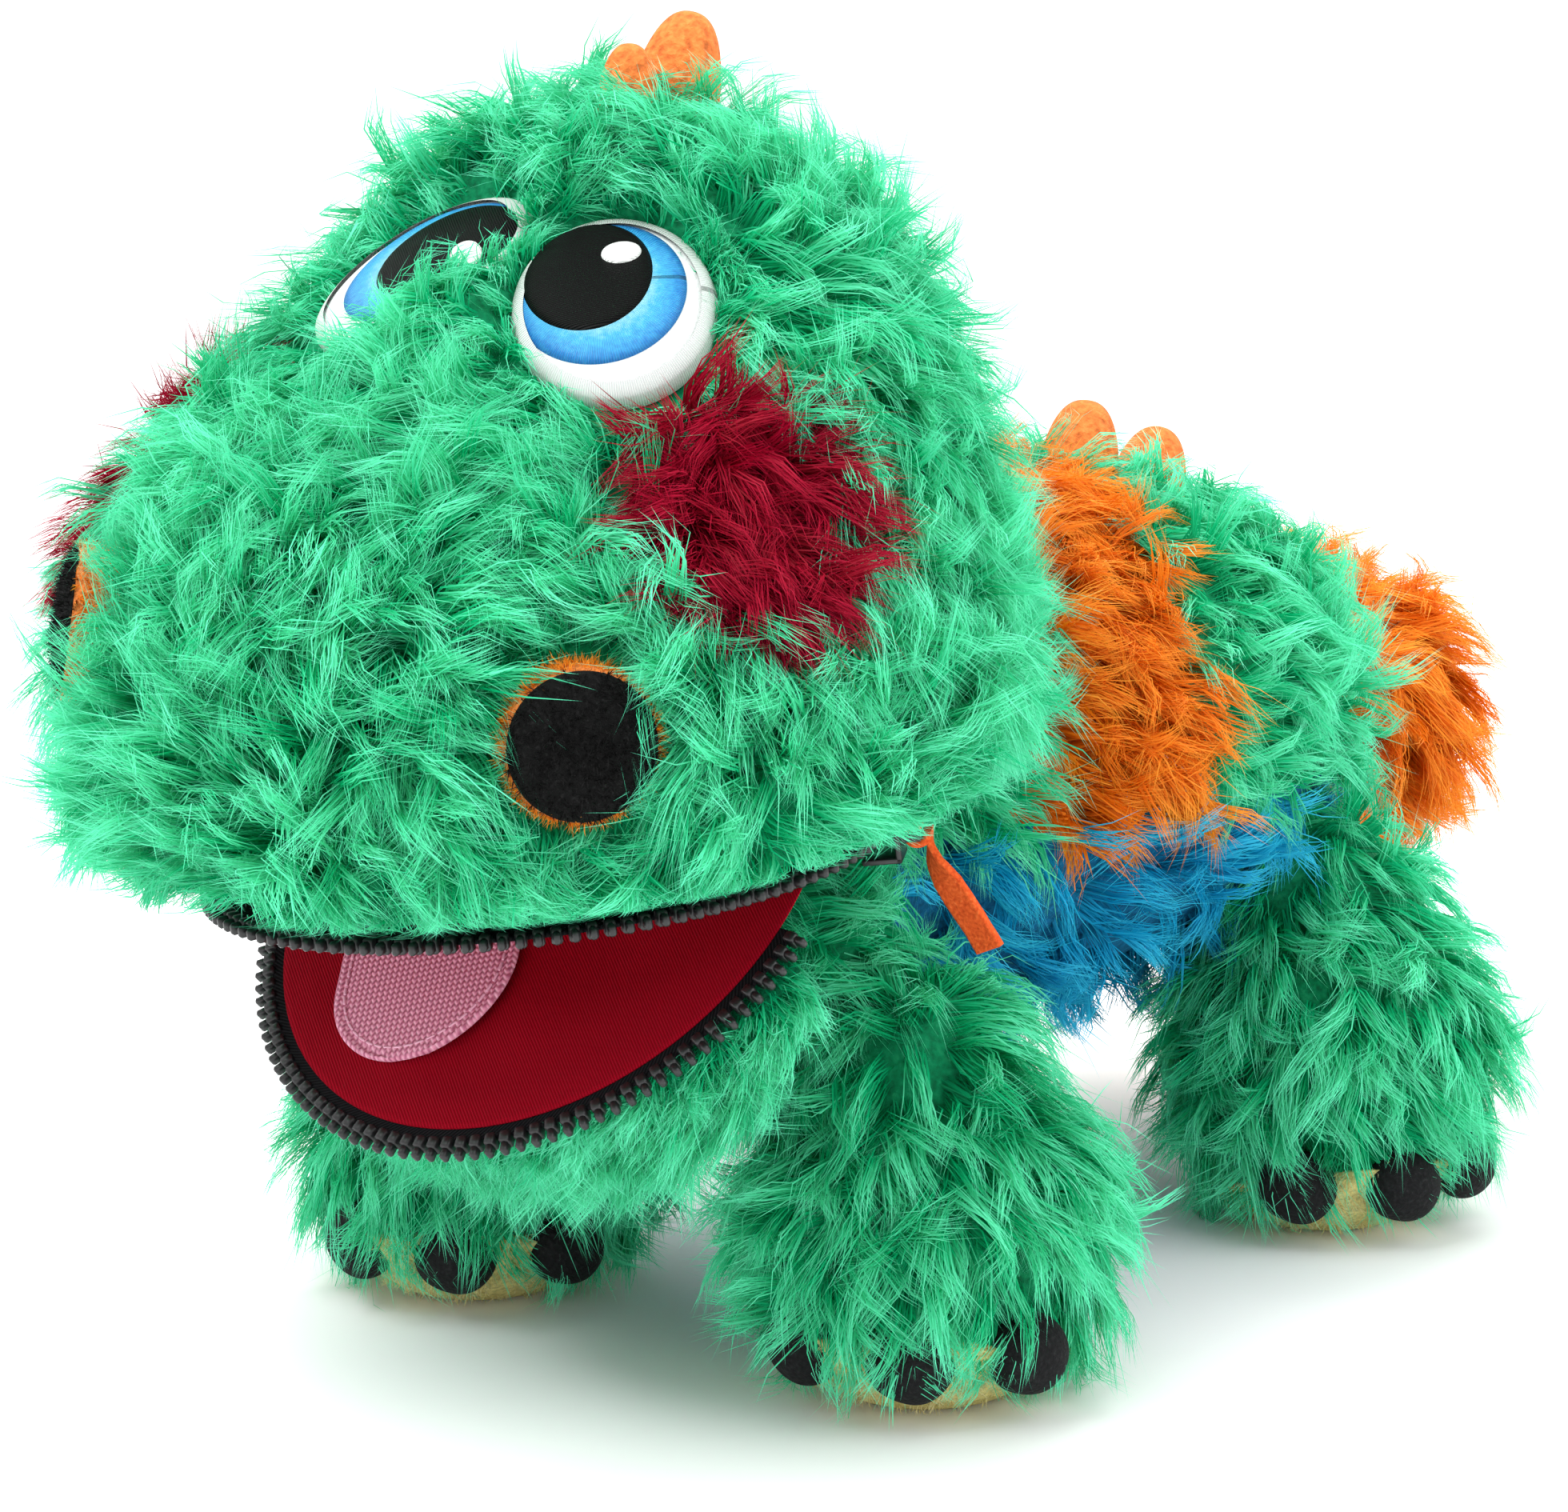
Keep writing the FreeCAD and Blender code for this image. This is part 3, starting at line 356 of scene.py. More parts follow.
def make_paints(colors):
    """Every material of the object. The settings hold the middle shade of each pile."""
    black = (0.0005, 0.0005, 0.0005), (0.001, 0.001, 0.001), (0.004, 0.004, 0.004)
    # In each pile, the dark stop is painted shade at the roots and the light stop is partly painted highlight at the
    # tips.
    for key, name, (dark, middle, light), glow in (
        ("green", "green pile", ((0.000, 0.17, 0.068), colors.green, (0.17, 0.88, 0.56)), 0.30),
        ("crimson", "crimson pile", ((0.07, 0.000, 0.003), colors.crimson, (0.42, 0.002, 0.032)), 0.30),
        ("orange", "orange pile", ((0.34, 0.05, 0.000), colors.orange, (0.96, 0.38, 0.04)), 0.30),
        ("blue", "blue pile", ((0.000, 0.10, 0.20), colors.blue, (0.05, 0.62, 0.86)), 0.30),
        ("black", "black nap", black, 0.05),
        ("cream nap", "cream nap", ((0.35, 0.28, 0.10), (0.70, 0.60, 0.26), (0.86, 0.78, 0.45)), 0.2),
    ):
        PAINTS[key] = pile_paint(name, dark, tuple(middle), light, glow)
    # The backings are darker than their pile, as painted shade in the gaps between the wisps.
    PAINTS["green base"] = plush_paint("green backing", (0.000, 0.20, 0.080), 700, 0.6, 0.2)
    PAINTS["orange base"] = plush_paint("orange backing", (0.42, 0.08, 0.004), 700, 0.6, 0.2)
    PAINTS["blue base"] = plush_paint("blue backing", (0.000, 0.11, 0.24), 700, 0.6, 0.2)
    PAINTS["cream"] = plush_paint("cream plush", (0.70, 0.60, 0.24), 1100, 0.6)
    PAINTS["toe"] = plush_paint("black toe plush", (0.009, 0.009, 0.010), 1200, 0.5, 0.35)
    PAINTS["nub"] = plush_paint("nub plush", (0.86, 0.20, 0.045), 650, 0.8, 0.15)
    PAINTS["black plush"] = plush_paint("black plush", (0.002, 0.002, 0.002), 1300, 0.6, 0.1)
    PAINTS["orange plush"] = plush_paint("orange plush", (0.62, 0.17, 0.035), 1300, 0.6, 0.4)

    felt = Paint("white felt", (0.62, 0.66, 0.64), 0.9, 0.3, 0.2)
    PAINTS["felt"] = felt.bump(felt.noise(1500, 5), 0.25).material
    for name, stops, rows in (
        ("iris", ((0.50, (0.36, 0.82, 0.95)), (0.72, (0.06, 0.50, 0.86)), (0.98, (0.01, 0.20, 0.60))), 190.0),
        ("rim", ((0.0, (0.85, 0.87, 0.85)), (1.0, (0.85, 0.87, 0.85))), 260.0),
    ):
        thread = Paint(f"{name} thread", stops[0][1], 0.38, 0.1, 0.5)
        wave = thread.maths("SINE", thread.maths("MULTIPLY", thread.attribute("around"), rows))
        rough = thread.noise(900, 2)
        row = thread.maths("MULTIPLY_ADD", wave, 0.5, 0.5)
        at = thread.maths("MULTIPLY_ADD", rough, 0.30, thread.maths("SUBTRACT", thread.attribute("outward"), 0.15))
        base = thread.ramp(at, stops)
        # Where the row wave is low, the colour is mixed toward a darkened copy as painted shade in the grooves
        # between the thread rows.
        dim = thread.node("ShaderNodeMixRGB", {"Fac": row, "Color2": base}, blend_type="MIX")
        shade = thread.node("ShaderNodeMixRGB", {"Color1": base}, blend_type="MULTIPLY", Fac=0.35)
        shade.inputs["Color2"].default_value = (0.45, 0.5, 0.55, 1)
        thread.tree.links.new(shade.outputs[0], dim.inputs["Color1"])
        thread.color(dim.outputs[0])
        PAINTS[name] = thread.bump(row, 0.22).material
    for name, color in (("pupil", (0.001, 0.001, 0.001)), ("glint", (0.74, 0.76, 0.74))):
        thread = Paint(f"{name} thread", color, 0.5, 0.0, 0.1)
        wave = thread.maths("SINE", thread.maths("MULTIPLY", thread.attribute("across"), 2 * math.pi / 0.42))
        PAINTS[name] = thread.bump(thread.maths("MULTIPLY_ADD", wave, 0.5, 0.5), 0.16).material

    tooth = Paint("zip plastic", (0.012, 0.012, 0.013), 0.38, 0.0, 0.5)
    PAINTS["tooth"] = tooth.bump(tooth.noise(500, 2), 0.04).material
    metal = Paint("black enamel", (0.015, 0.015, 0.016), 0.3, 0.0, 0.5)
    PAINTS["metal"] = metal.bump(metal.noise(300, 2), 0.02).material

    for name, color, pale, turns, fine in (
        ("tape", (0.004, 0.004, 0.005), (0.016, 0.016, 0.018), 7.5, 0.12),
        ("lining", (0.21, 0.000, 0.005), (0.36, 0.001, 0.015), 8.5, 0.10),
    ):
        cloth = Paint(name, color, 0.85, 0.05, 0.08)
        ribs = cloth.maths("ADD", cloth.attribute("warp"), cloth.attribute("weft"))
        wave = cloth.maths("SINE", cloth.maths("MULTIPLY", ribs, turns))
        row = cloth.maths("MULTIPLY_ADD", wave, 0.5, 0.5)
        cloth.color(cloth.ramp(row, ((0.0, color), (1.0, pale))))
        PAINTS[name] = cloth.bump(row, fine).material

    web = Paint("tongue webbing", (0.66, 0.24, 0.38), 0.72, 0.25, 0.3)
    ribs = web.maths("SINE", web.maths("MULTIPLY", web.attribute("warp"), 2 * math.pi / 1.15))
    folded = web.maths("PINGPONG", web.attribute("warp"), 1.15 / 2)
    slant = web.maths("MULTIPLY_ADD", folded, 5.0, web.maths("MULTIPLY", web.attribute("weft"), 5.2))
    knit = web.maths("MULTIPLY_ADD", web.maths("SINE", slant), 0.25, web.maths("MULTIPLY_ADD", ribs, 0.3, 0.5))
    # Colour follows the weave's height: its ribbed pattern, with the grooves darker as painted shade and the raised
    # ribs lighter as painted highlight.
    web.color(web.ramp(knit, ((0.0, (0.46, 0.12, 0.22)), (0.5, (0.76, 0.30, 0.43)), (1.0, (0.92, 0.50, 0.64)))))
    PAINTS["tongue"] = web.bump(knit, 0.35).material
    stitch = Paint("tongue thread", (0.78, 0.42, 0.55), 0.5, 0.1, 0.4)
    PAINTS["stitch"] = stitch.material
    tab = Paint("felt tab", (0.80, 0.10, 0.018), 0.92, 0.4, 0.2)
    grain = tab.noise(1400, 5)
    tab.color(tab.ramp(grain, ((0.3, (0.60, 0.06, 0.01)), (0.6, (0.84, 0.12, 0.022)), (0.8, (0.92, 0.22, 0.06)))))
    PAINTS["tab"] = tab.bump(grain, 0.35).material
    floor = Paint("floor", (0.93, 0.93, 0.93), 0.9, 0.0, 0.1)
    PAINTS["floor"] = floor.material


# ---- Meshes ----------------------------------------------------------------------------------------------


def add_mesh(name, points, faces, paint, attributes=None):
    """An object of millimetre points and equal-sided faces, with named point attributes."""
    points = np.asarray(points, np.float32) * MM
    faces = np.asarray(faces, np.int32)
    sides = faces.shape[1]
    mesh = bpy.data.meshes.new(name)
    mesh.vertices.add(len(points))
    mesh.vertices.foreach_set("co", points.ravel())
    mesh.loops.add(faces.size)
    mesh.loops.foreach_set("vertex_index", faces.ravel())
    mesh.polygons.add(len(faces))
    mesh.polygons.foreach_set("loop_start", np.arange(len(faces), dtype=np.int32) * sides)
    for key, values in (attributes or {}).items():
        layer = mesh.attributes.new(key, "FLOAT", "POINT")
        layer.data.foreach_set("value", np.asarray(values, np.float32).ravel())
    mesh.update(calc_edges=True)
    mesh.validate()
    mesh.materials.append(PAINTS[paint])
    mesh.polygons.foreach_set("use_smooth", np.ones(len(mesh.polygons), bool))
    mesh.update()
    made = bpy.data.objects.new(name, mesh)
    bpy.context.scene.collection.objects.link(made)
    return made


def joined_mesh(name, parts, paint, attributes=("warp", "weft")):
    """One object of several (points, quads, {attribute: values})."""
    points, faces, values, start = [], [], {key: [] for key in attributes}, 0
    for part in parts:
        points.append(part[0])
        faces.append(np.asarray(part[1]) + start)
        start += len(part[0])
        for key in attributes:
            given = part[2].get(key) if len(part) > 2 else None
            values[key].append(np.zeros(len(part[0])) if given is None else given)
    gathered = {key: np.concatenate(v) for key, v in values.items()}
    return add_mesh(name, np.concatenate(points), np.concatenate(faces), paint, gathered)


def closed(made):
    """Welds points that meet and points the faces outward."""
    work = bmesh.new()
    work.from_mesh(made.data)
    bmesh.ops.remove_doubles(work, verts=list(work.verts), dist=0.00001)
    bmesh.ops.recalc_face_normals(work, faces=list(work.faces))
    work.to_mesh(made.data)
    work.free()
    made.data.polygons.foreach_set("use_smooth", np.ones(len(made.data.polygons), bool))


def grid_quads(rows, columns, around=False):
    """Quads of a grid of points, rows by columns."""
    i, j = np.meshgrid(np.arange(rows - 1), np.arange(columns if around else columns - 1), indexing="ij")
    k = (j + 1) % columns
    low, high = i * columns, (i + 1) * columns
    return np.stack([low + j, low + k, high + k, high + j], -1).reshape(-1, 4)


def slab(top, bottom, rows, columns):
    """A closed sheet between two grids of points."""
    count = rows * columns
    upper = grid_quads(rows, columns)
    lower = upper[:, ::-1] + count
    edge = []
    ring = [(0, j) for j in range(columns)] + [(i, columns - 1) for i in range(1, rows)]
    ring += [(rows - 1, j) for j in range(columns - 2, -1, -1)] + [(i, 0) for i in range(rows - 2, 0, -1)]
    index = [i * columns + j for i, j in ring]
    for a, b in zip(index, index[1:] + index[:1]):
        edge.append((b, a, a + count, b + count))
    return np.concatenate([top, bottom]), np.concatenate([upper, lower, np.array(edge)])


def soft_box(size, centre, wear=0.3, cuts=2):
    """A block with rounded edges as points and quads, made with bmesh."""
    work = bmesh.new()
    bmesh.ops.create_cube(work, size=1.0)
    for vertex in work.verts:
        vertex.co = [c * s + o for c, s, o in zip(vertex.co, size, centre)]
    bmesh.ops.bevel(work, geom=list(work.edges), offset=wear, segments=cuts, affect="EDGES", profile=0.6)
    bmesh.ops.triangulate(work, faces=list(work.faces))
    work.verts.index_update()
    points = np.array([v.co[:] for v in work.verts])
    faces = np.array([[v.index for v in f.verts] for f in work.faces])
    work.free()
    return points, faces


# ---- Pile ------------------------------------------------------------------------------------------------


def swirl(points, seed, size):
    """A smooth random vector field, with swirls about size millimetres across."""
    rng = np.random.default_rng(seed)
    total = np.zeros((len(points), 3))
    for octave in (1.0, 2.1):
        for _ in range(5):
            wave = rng.normal(size=3) * octave * 2.2 / size
            total += np.sin(points @ wave + rng.uniform(0, 6.3))[:, None] * unit(rng.normal(size=3)) / octave
    return total * 0.55


def scatter(shape, count, weight, seed):
    """Root points and normals over a shape, by area times weight."""
    points, normals, quads = shape
    rng = np.random.default_rng(seed)
    corners = points[quads]
    area = np.linalg.norm(np.cross(corners[:, 2] - corners[:, 0], corners[:, 3] - corners[:, 1]), axis=1) / 2
    share = area * weight(corners.mean(1))
    pick = rng.choice(len(quads), count, p=share / share.sum())
    u, v = rng.random((2, count, 1))
    c, n = corners[pick], normals[quads][pick]
    mix = lambda q: q[:, 0] * (1 - u) * (1 - v) + q[:, 1] * u * (1 - v) + q[:, 2] * u * v + q[:, 3] * (1 - u) * v
    return mix(c), unit(mix(n))


def hair(
    name, roots, normals, flow, length, paint, body, seed,
    strands=28, spread=2.3, gather=0.50, width=0.36,
    lean=0.62, bend=0.30, weight=0.22, curl=0.7, frizz=0.42, stray_share=0.22,
    trim=None, avoid=None,
):
    """Wisps of tapering blades as one mesh. A wisp leans from its normal into flow, sags and curls."""
    rng = np.random.default_rng(seed)
    count = len(roots)
    flow = unit(flow) + rng.normal(0, 0.38, (count, 3))
    flow = unit(flow - normals * np.sum(flow * normals, 1, keepdims=True))
    side = np.cross(normals, flow)
    length = length * rng.uniform(0.72, 1.15, count)
    angle = lean + rng.normal(0, 0.28, count)
    turn_by = rng.uniform(-1, 1, count) * curl
    phase = rng.uniform(0, 6.3, count)
    line = [roots - normals * 0.8]
    for step in range(4):
        a = angle + bend * step
        b = turn_by * (step + 0.4) + 0.35 * np.sin(phase + step * 2.1)
        across = flow * np.cos(b)[:, None] + side * np.sin(b)[:, None]
        way = normals * np.cos(a)[:, None] + across * np.sin(a)[:, None]
        way = unit(way + DOWN * weight * (step + 0.5) / 2)
        line.append(line[-1] + way * (length / 4)[:, None])
    line = np.stack(line, 1)
    clear = np.min([from_tab(line[:, step]) for step in range(5)], 0) > 7.5
    for step in range(5):
        clear &= ~in_mouth(line[:, step])
        if avoid:
            clear &= ~avoid(line[:, step])
    line, side, normals, flow = line[clear], side[clear], normals[clear], flow[clear]
    count = len(line)

    total = count * strands
    owner = np.repeat(np.arange(count), strands)
    distance = np.sqrt(rng.random(total)) * spread
    around = rng.uniform(0, 6.3, total)
    offset = side[owner] * (np.cos(around) * distance)[:, None] + flow[owner] * (np.sin(around) * distance)[:, None]
    reach = rng.uniform(0.72, 1.04, total)
    stray = rng.random(total) < stray_share
    hold = np.where(stray, 0.1, gather)
    drift = rng.normal(0, 1, (total, 3)) * np.where(stray, 2.3, 0.75)[:, None]
    levels = (0.0, 0.36, 0.70, 1.0)
    rows = []
    for level in levels:
        at = np.clip(level * reach, 0, 0.9999) * 4
        low = at.astype(int)
        part = (at - low)[:, None]
        spine = line[owner, low] * (1 - part) + line[owner, low + 1] * part
        crimp = rng.normal(0, frizz * min(1, level * 2), (total, 3))
        rows.append(spine + offset * (1 - hold * level)[:, None] + drift * level**1.4 + crimp)
    roll = rng.uniform(-1.2, 1.2, total)
    flat = side[owner] * np.cos(roll)[:, None] + normals[owner] * np.sin(roll)[:, None]
    wide = width * rng.uniform(0.7, 1.2, total)[:, None] / 2
    verts = []
    for row, share in zip(rows[:3], (1.0, 0.95, 0.65)):
        verts += [row - flat * wide * share, row + flat * wide * share]
    verts.append(rows[3])
    points = np.stack(verts, 1).reshape(-1, 3)
    points[:, 2] = np.maximum(points[:, 2], 0.4)
    if trim:
        points = trim(points)
    pattern = np.array([[0, 1, 3], [0, 3, 2], [2, 3, 5], [2, 5, 4], [4, 5, 6]])
    faces = (np.arange(total) * 7)[:, None, None] + pattern[None]
    along = np.tile([0, 0, 0.36, 0.36, 0.70, 0.70, 1.0], total)
    shade = rng.random(count)[owner] * 0.65 + rng.random(total) * 0.35
    made = add_mesh(name, points, faces.reshape(-1, 3), paint, {"along": along, "tone": np.repeat(shade, 7)})
    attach(made, body)
    return made


def in_mouth(points):
    """Inside the open mouth, between its two linings."""
    low, high = into(JAW, points), into(MOUTH, points)
    return (low[:, 2] > -4.5) & (high[:, 2] < 3) & (np.hypot(low[:, 0], low[:, 1]) < 57) & (low[:, 1] < -2)


def over_eye(points):
    """In front of either eye."""
    hidden = np.zeros(len(points), bool)
    for place in EYES.values():
        q = into(place, points)
        hidden |= (np.hypot(q[:, 0] / 16.6, q[:, 1] / 20.6) < 1) & (np.abs(q[:, 2] - 13) < 17)
    return hidden


def away_from(points, places, reach_x, reach_y, width):
    """(0 to 1 inside width of an oval's edge, direction away from it, True inside the oval) over several ovals."""
    near = np.zeros(len(points))
    inside = np.zeros(len(points), bool)
    push = np.zeros((len(points), 3))
    for place in places:
        q = into(place, points)
        ring = np.hypot(q[:, 0] / reach_x, q[:, 1] / reach_y)
        facing = np.abs(q[:, 2]) < 26
        edge = (ring - 1) * min(reach_x, reach_y)
        amount = np.where(facing, np.clip(1 - edge / width, 0, 1), 0)
        inside |= facing & (ring < 1)
        way = unit(np.stack([q[:, 0] / reach_x, q[:, 1] / reach_y, np.zeros(len(q))], 1))
        push += (way @ place[:3, :3].T) * amount[:, None]
        near = np.maximum(near, amount)
    return near, push, inside


def in_cheek(points, margin=0.0):
    """Inside either cheek patch, less a margin."""
    inside = np.zeros(len(points), bool)
    for side, place in CHEEKS.items():
        q = into(place, points)
        inside |= (np.hypot(q[:, 0], q[:, 1]) < CHEEK_REACH[side] - margin) & (q[:, 2] > -22)
    return inside


TAB_TOP = out(MOUTH @ turn("z", SLIDER_PARK) @ move(0, -66.4), [[0, 0, 0]])[0]
TAB_END = out(MOUTH @ turn("z", SLIDER_PARK) @ move(0, -66.4) @ turn("x", -24), [[0, 0, -25]])[0]


def from_tab(points):
    """Distance to the pull tab's middle line."""
    line = TAB_END - TAB_TOP
    share = np.clip((points - TAB_TOP) @ line / (line @ line), 0, 1)
    return np.linalg.norm(points - TAB_TOP - share[:, None] * line, axis=1)


def head_weight(points):
    """Where the head has green pile."""
    lip = into(MOUTH, points)
    open_eye = away_from(points, EYES.values(), 17.0, 21.2, 1)[2]
    open_nose = away_from(points, NOSTRILS.values(), 12.8, 12.8, 1)[2]
    hidden = (torso_field(points) < -3) | (lip[:, 2] < lip_rise(lip) + 1)
    return np.where(open_eye | open_nose | hidden | in_cheek(points), 0.0, 1.0)


def head_comb(points):
    """Flow and length of the head's pile."""
    eye, from_eye, _ = away_from(points, EYES.values(), 17.3, 21.5, 13)
    nose, from_nose, _ = away_from(points, NOSTRILS.values(), 12.6, 12.6, 9)
    mouth = into(MOUTH, points)
    lip = np.clip((14.6 + lip_rise(mouth) - mouth[:, 2]) / 14, 0, 1)
    flow = swirl(points, 5, 34) * 1.5 + np.array([0, 0.25, -0.40]) + from_eye * 3 + from_nose * 3
    flow += lip[:, None] * np.array([0, 0, 0.5])
    length = 26 * (1 - 0.62 * eye) * (1 - 0.55 * nose) * (1 - 0.66 * lip)
    return flow, length


def above_teeth(points):
    """Keeps the fringe of the upper lip off the zip's teeth."""
    q = into(MOUTH, points)
    rise = lip_rise(q)
    low = rise - q[:, 2]
    q[:, 2] = np.where((low > 0) & (q[:, 1] < 22), rise - np.minimum(low * 0.2, 1.3), q[:, 2])
    return out(MOUTH, q)


def torso_zone(points):
    """0 green, 1 orange band, 2 blue belly, 3 hidden."""
    y, z = points[:, 1], points[:, 2]
    front, rear = (
        np.hypot(y - BAND_CURVE[0] + sign * BAND_HALF, z - BAND_CURVE[1]) < BAND_RADIUS for sign in (1, -1)
    )
    rear |= y > 96
    zone = np.where(front & ~rear, 1, 0)
    low = z < 99 - 0.04 * (y + 118.5)
    zone = np.where(low & (y > -69.5), 2, zone)
    hidden = (head_field(points) < 2) | (tail_field(points) < -2)
    for leg in LEGS:
        hidden |= leg_field(leg)(points) < -1
    return np.where(hidden, 3, zone)


# ---- Settings and operators ------------------------------------------------------------------------------


def shade(name, description, default):
    """A colour setting."""
    return FloatVectorProperty(
        name=name, description=description, default=default, size=3, subtype="COLOR", min=0, max=1
    )


class PlushSettings(bpy.types.PropertyGroup):
    """Driving sizes and colours of the dressing."""

    wisps_head: IntProperty(name="Head wisps", description="Wisps of pile on the head", default=5300, min=100)
    wisps_torso: IntProperty(name="Torso wisps", description="Wisps of pile on the torso", default=2300, min=100)
    wisps_leg: IntProperty(name="Leg wisps", description="Wisps of pile on one leg", default=730, min=50)
    strand_width: FloatProperty(
        name="Strand width", description="Width of one blade", default=0.00037, unit="LENGTH", subtype="DISTANCE"
    )
    green: shade("Green", "Pile of the head, torso and legs", (0.000, 0.51, 0.215))
    crimson: shade("Crimson", "Pile of the cheeks", (0.27, 0.000, 0.011))
    orange: shade("Orange", "Pile of the band and tail", (0.80, 0.18, 0.001))
    blue: shade("Blue", "Pile of the belly", (0.000, 0.36, 0.64))


class PLUSH_OT_backing(bpy.types.Operator):
    """Stuffed bodies under the pile: head, chin, torso, tail and legs."""

    bl_idname = "plush.backing"
    bl_label = "Stuffed bodies"
    bl_options = {"REGISTER", "UNDO"}

    def execute(self, context):
        """Makes each body as a closed piece."""
        rows = [
            ("head_body", head_field, HEAD_MIDDLE, "green base", "body", ("head_stuffing", "head_skin")),
            ("chin_body", jaw_field, CHIN_MIDDLE, "green base", "jaw", ("jaw_stuffing", "jaw_skin")),
            ("tail_body", tail_field, TAIL, "orange base", "body", ("tail_stuffing", "tail_skin")),
        ]
        for leg in LEGS:
            name = leg[0]
            middle = np.array([leg[1], leg[2], leg[3] - 2.0])
            nodes = (f"leg_stuffing_{name}", f"leg_skin_{name}")
            rows.append((f"leg_{name}_body", leg_field(leg), middle, "green base", f"leg_{name}", nodes))
        for name, field, centre, paint, body, nodes in rows:
            points, _, quads = round_mesh(field, centre, 56, 96)
            made = add_mesh(name, points, quads, paint)
            closed(made)
            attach(made, body)
            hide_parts(*nodes)
        points, normals, quads = round_mesh(torso_field, TORSO_MIDDLE, 90, 160)
        made = add_mesh("torso_body", points, quads, "green base")
        for extra in ("orange base", "blue base"):
            made.data.materials.append(PAINTS[extra])
        zone = torso_zone(points[quads].mean(1))
        made.data.polygons.foreach_set("material_index", np.where(zone > 2, 0, zone).astype(np.int32))
        closed(made)
        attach(made, "body")
        panels = ("torso_band", "shoulder_panel", "rump_panel", "belly_panel", "throat_panel")
        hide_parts("torso_stuffing", "chest_stuffing", *panels)
        return {"FINISHED"}


class PLUSH_OT_head_pile(bpy.types.Operator):
    """Long green pile over the head, combed away from the eyes, the nostrils and the lip."""

    bl_idname = "plush.head_pile"
    bl_label = "Head pile"
    bl_options = {"REGISTER", "UNDO"}

    def execute(self, context):
        """Grows the pile in four pieces."""
        sizes = context.scene.plush
        shape = round_mesh(head_field, HEAD_MIDDLE)
        roots, normals = scatter(shape, sizes.wisps_head, head_weight, 11)
        flow, length = head_comb(roots)
        wide = sizes.strand_width / MM
        for number in range(4):
            part = slice(number, None, 4)
            hair(f"head_pile_{number + 1}", roots[part], normals[part], flow[part], length[part], "green", "body",
                 21 + number, strands=26, width=wide, trim=above_teeth,
                 avoid=lambda p: over_eye(p) | in_cheek(p, 3.0))
        return {"FINISHED"}


class PLUSH_OT_cheeks(bpy.types.Operator):
    """Crimson pile on the cheeks."""

    bl_idname = "plush.cheeks"
    bl_label = "Cheeks"
    bl_options = {"REGISTER", "UNDO"}

    def execute(self, context):
        """Grows one patch on each side."""
        shape = round_mesh(head_field, HEAD_MIDDLE)
        for side, place in CHEEKS.items():

            def weight(points):
                """Inside this side's patch."""
                q = into(place, points)
                return ((np.hypot(q[:, 0], q[:, 1]) < 19.5) & (q[:, 2] > -22) & in_cheek(points)) * 1.0

            roots, normals = scatter(shape, 330 if side == "left" else 420, weight, 31)
            q = into(place, roots)
            radial = (unit(np.stack([q[:, 0], q[:, 1], q[:, 0] * 0], 1)) @ place[:3, :3].T)
            rng = np.random.default_rng(33)
            flow = radial * 0.6 + np.array([0, 0.15, -0.7]) + rng.normal(0, 0.5, roots.shape)
            made = hair(f"cheek_{side}_pile", roots, normals, flow, np.full(len(roots), 22.0), "crimson", "body", 35,
                        strands=30, lean=0.5, bend=0.28, weight=0.3, curl=0.35, frizz=0.25, gather=0.6,
                        avoid=over_eye)
            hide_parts(f"cheek_{side}")
        return {"FINISHED"}


class PLUSH_OT_chin_pile(bpy.types.Operator):
    """Green pile under the chin."""

    bl_idname = "plush.chin_pile"
    bl_label = "Chin pile"
    bl_options = {"REGISTER", "UNDO"}

    def execute(self, context):
        """Grows the pile below the lower lip."""
        shape = round_mesh(jaw_field, CHIN_MIDDLE)

        def weight(points):
            """Below the lip and ahead of the throat."""
            below = into(JAW, points)[:, 2] < -6.0
            ahead = into(HINGE, points)[:, 1] < -4.4
            return (below & ahead) * 1.0

        roots, normals = scatter(shape, 900, weight, 41)
        lip = np.clip(1 - (-6 - into(JAW, roots)[:, 2]) / 16, 0, 1)
        flow = swirl(roots, 6, 30) * 1.1 + np.array([0, 0.45, -0.9])
        hair("chin_pile", roots, normals, flow, 21 * (1 - 0.50 * lip), "green", "jaw", 43, weight=0.3)
        return {"FINISHED"}


class PLUSH_OT_torso_pile(bpy.types.Operator):
    """Pile over the torso: green, an orange band and a blue belly."""

    bl_idname = "plush.torso_pile"
    bl_label = "Torso pile"
    bl_options = {"REGISTER", "UNDO"}

    def execute(self, context):
        """Grows each colour as its own piece."""
        sizes = context.scene.plush
        shape = round_mesh(torso_field, TORSO_MIDDLE)
        rows = ((0, "torso_green_pile", "green", 0.52, 23), (1, "torso_band_pile", "orange", 0.24, 22),
                (2, "belly_pile", "blue", 0.24, 21))
        for zone, name, paint, share, length in rows:
            count = int(sizes.wisps_torso * share)
            roots, normals = scatter(shape, count, lambda p: (torso_zone(p) == zone) * 1.0, 50 + zone)
            flow = swirl(roots, 7, 36) * 1.2 + np.array([0, 0.55, -0.5 if zone < 2 else -0.2])
            hair(name, roots, normals, flow, np.full(len(roots), float(length)), paint, "body", 60 + zone,
                 strands=29 if zone else 27)
        return {"FINISHED"}


class PLUSH_OT_tail_pile(bpy.types.Operator):
    """Orange pile on the tail."""

    bl_idname = "plush.tail_pile"
    bl_label = "Tail pile"
    bl_options = {"REGISTER", "UNDO"}

    def execute(self, context):
        """Grows the pile behind the torso."""
        shape = round_mesh(tail_field, TAIL)
        roots, normals = scatter(shape, 620, lambda p: (torso_field(p) > 1) * 1.0, 71)
        flow = swirl(roots, 9, 28) + np.array([0, 0.75, -0.35])
        hair("tail_pile", roots, normals, flow, np.full(len(roots), 27.0), "orange", "body", 72)
        return {"FINISHED"}


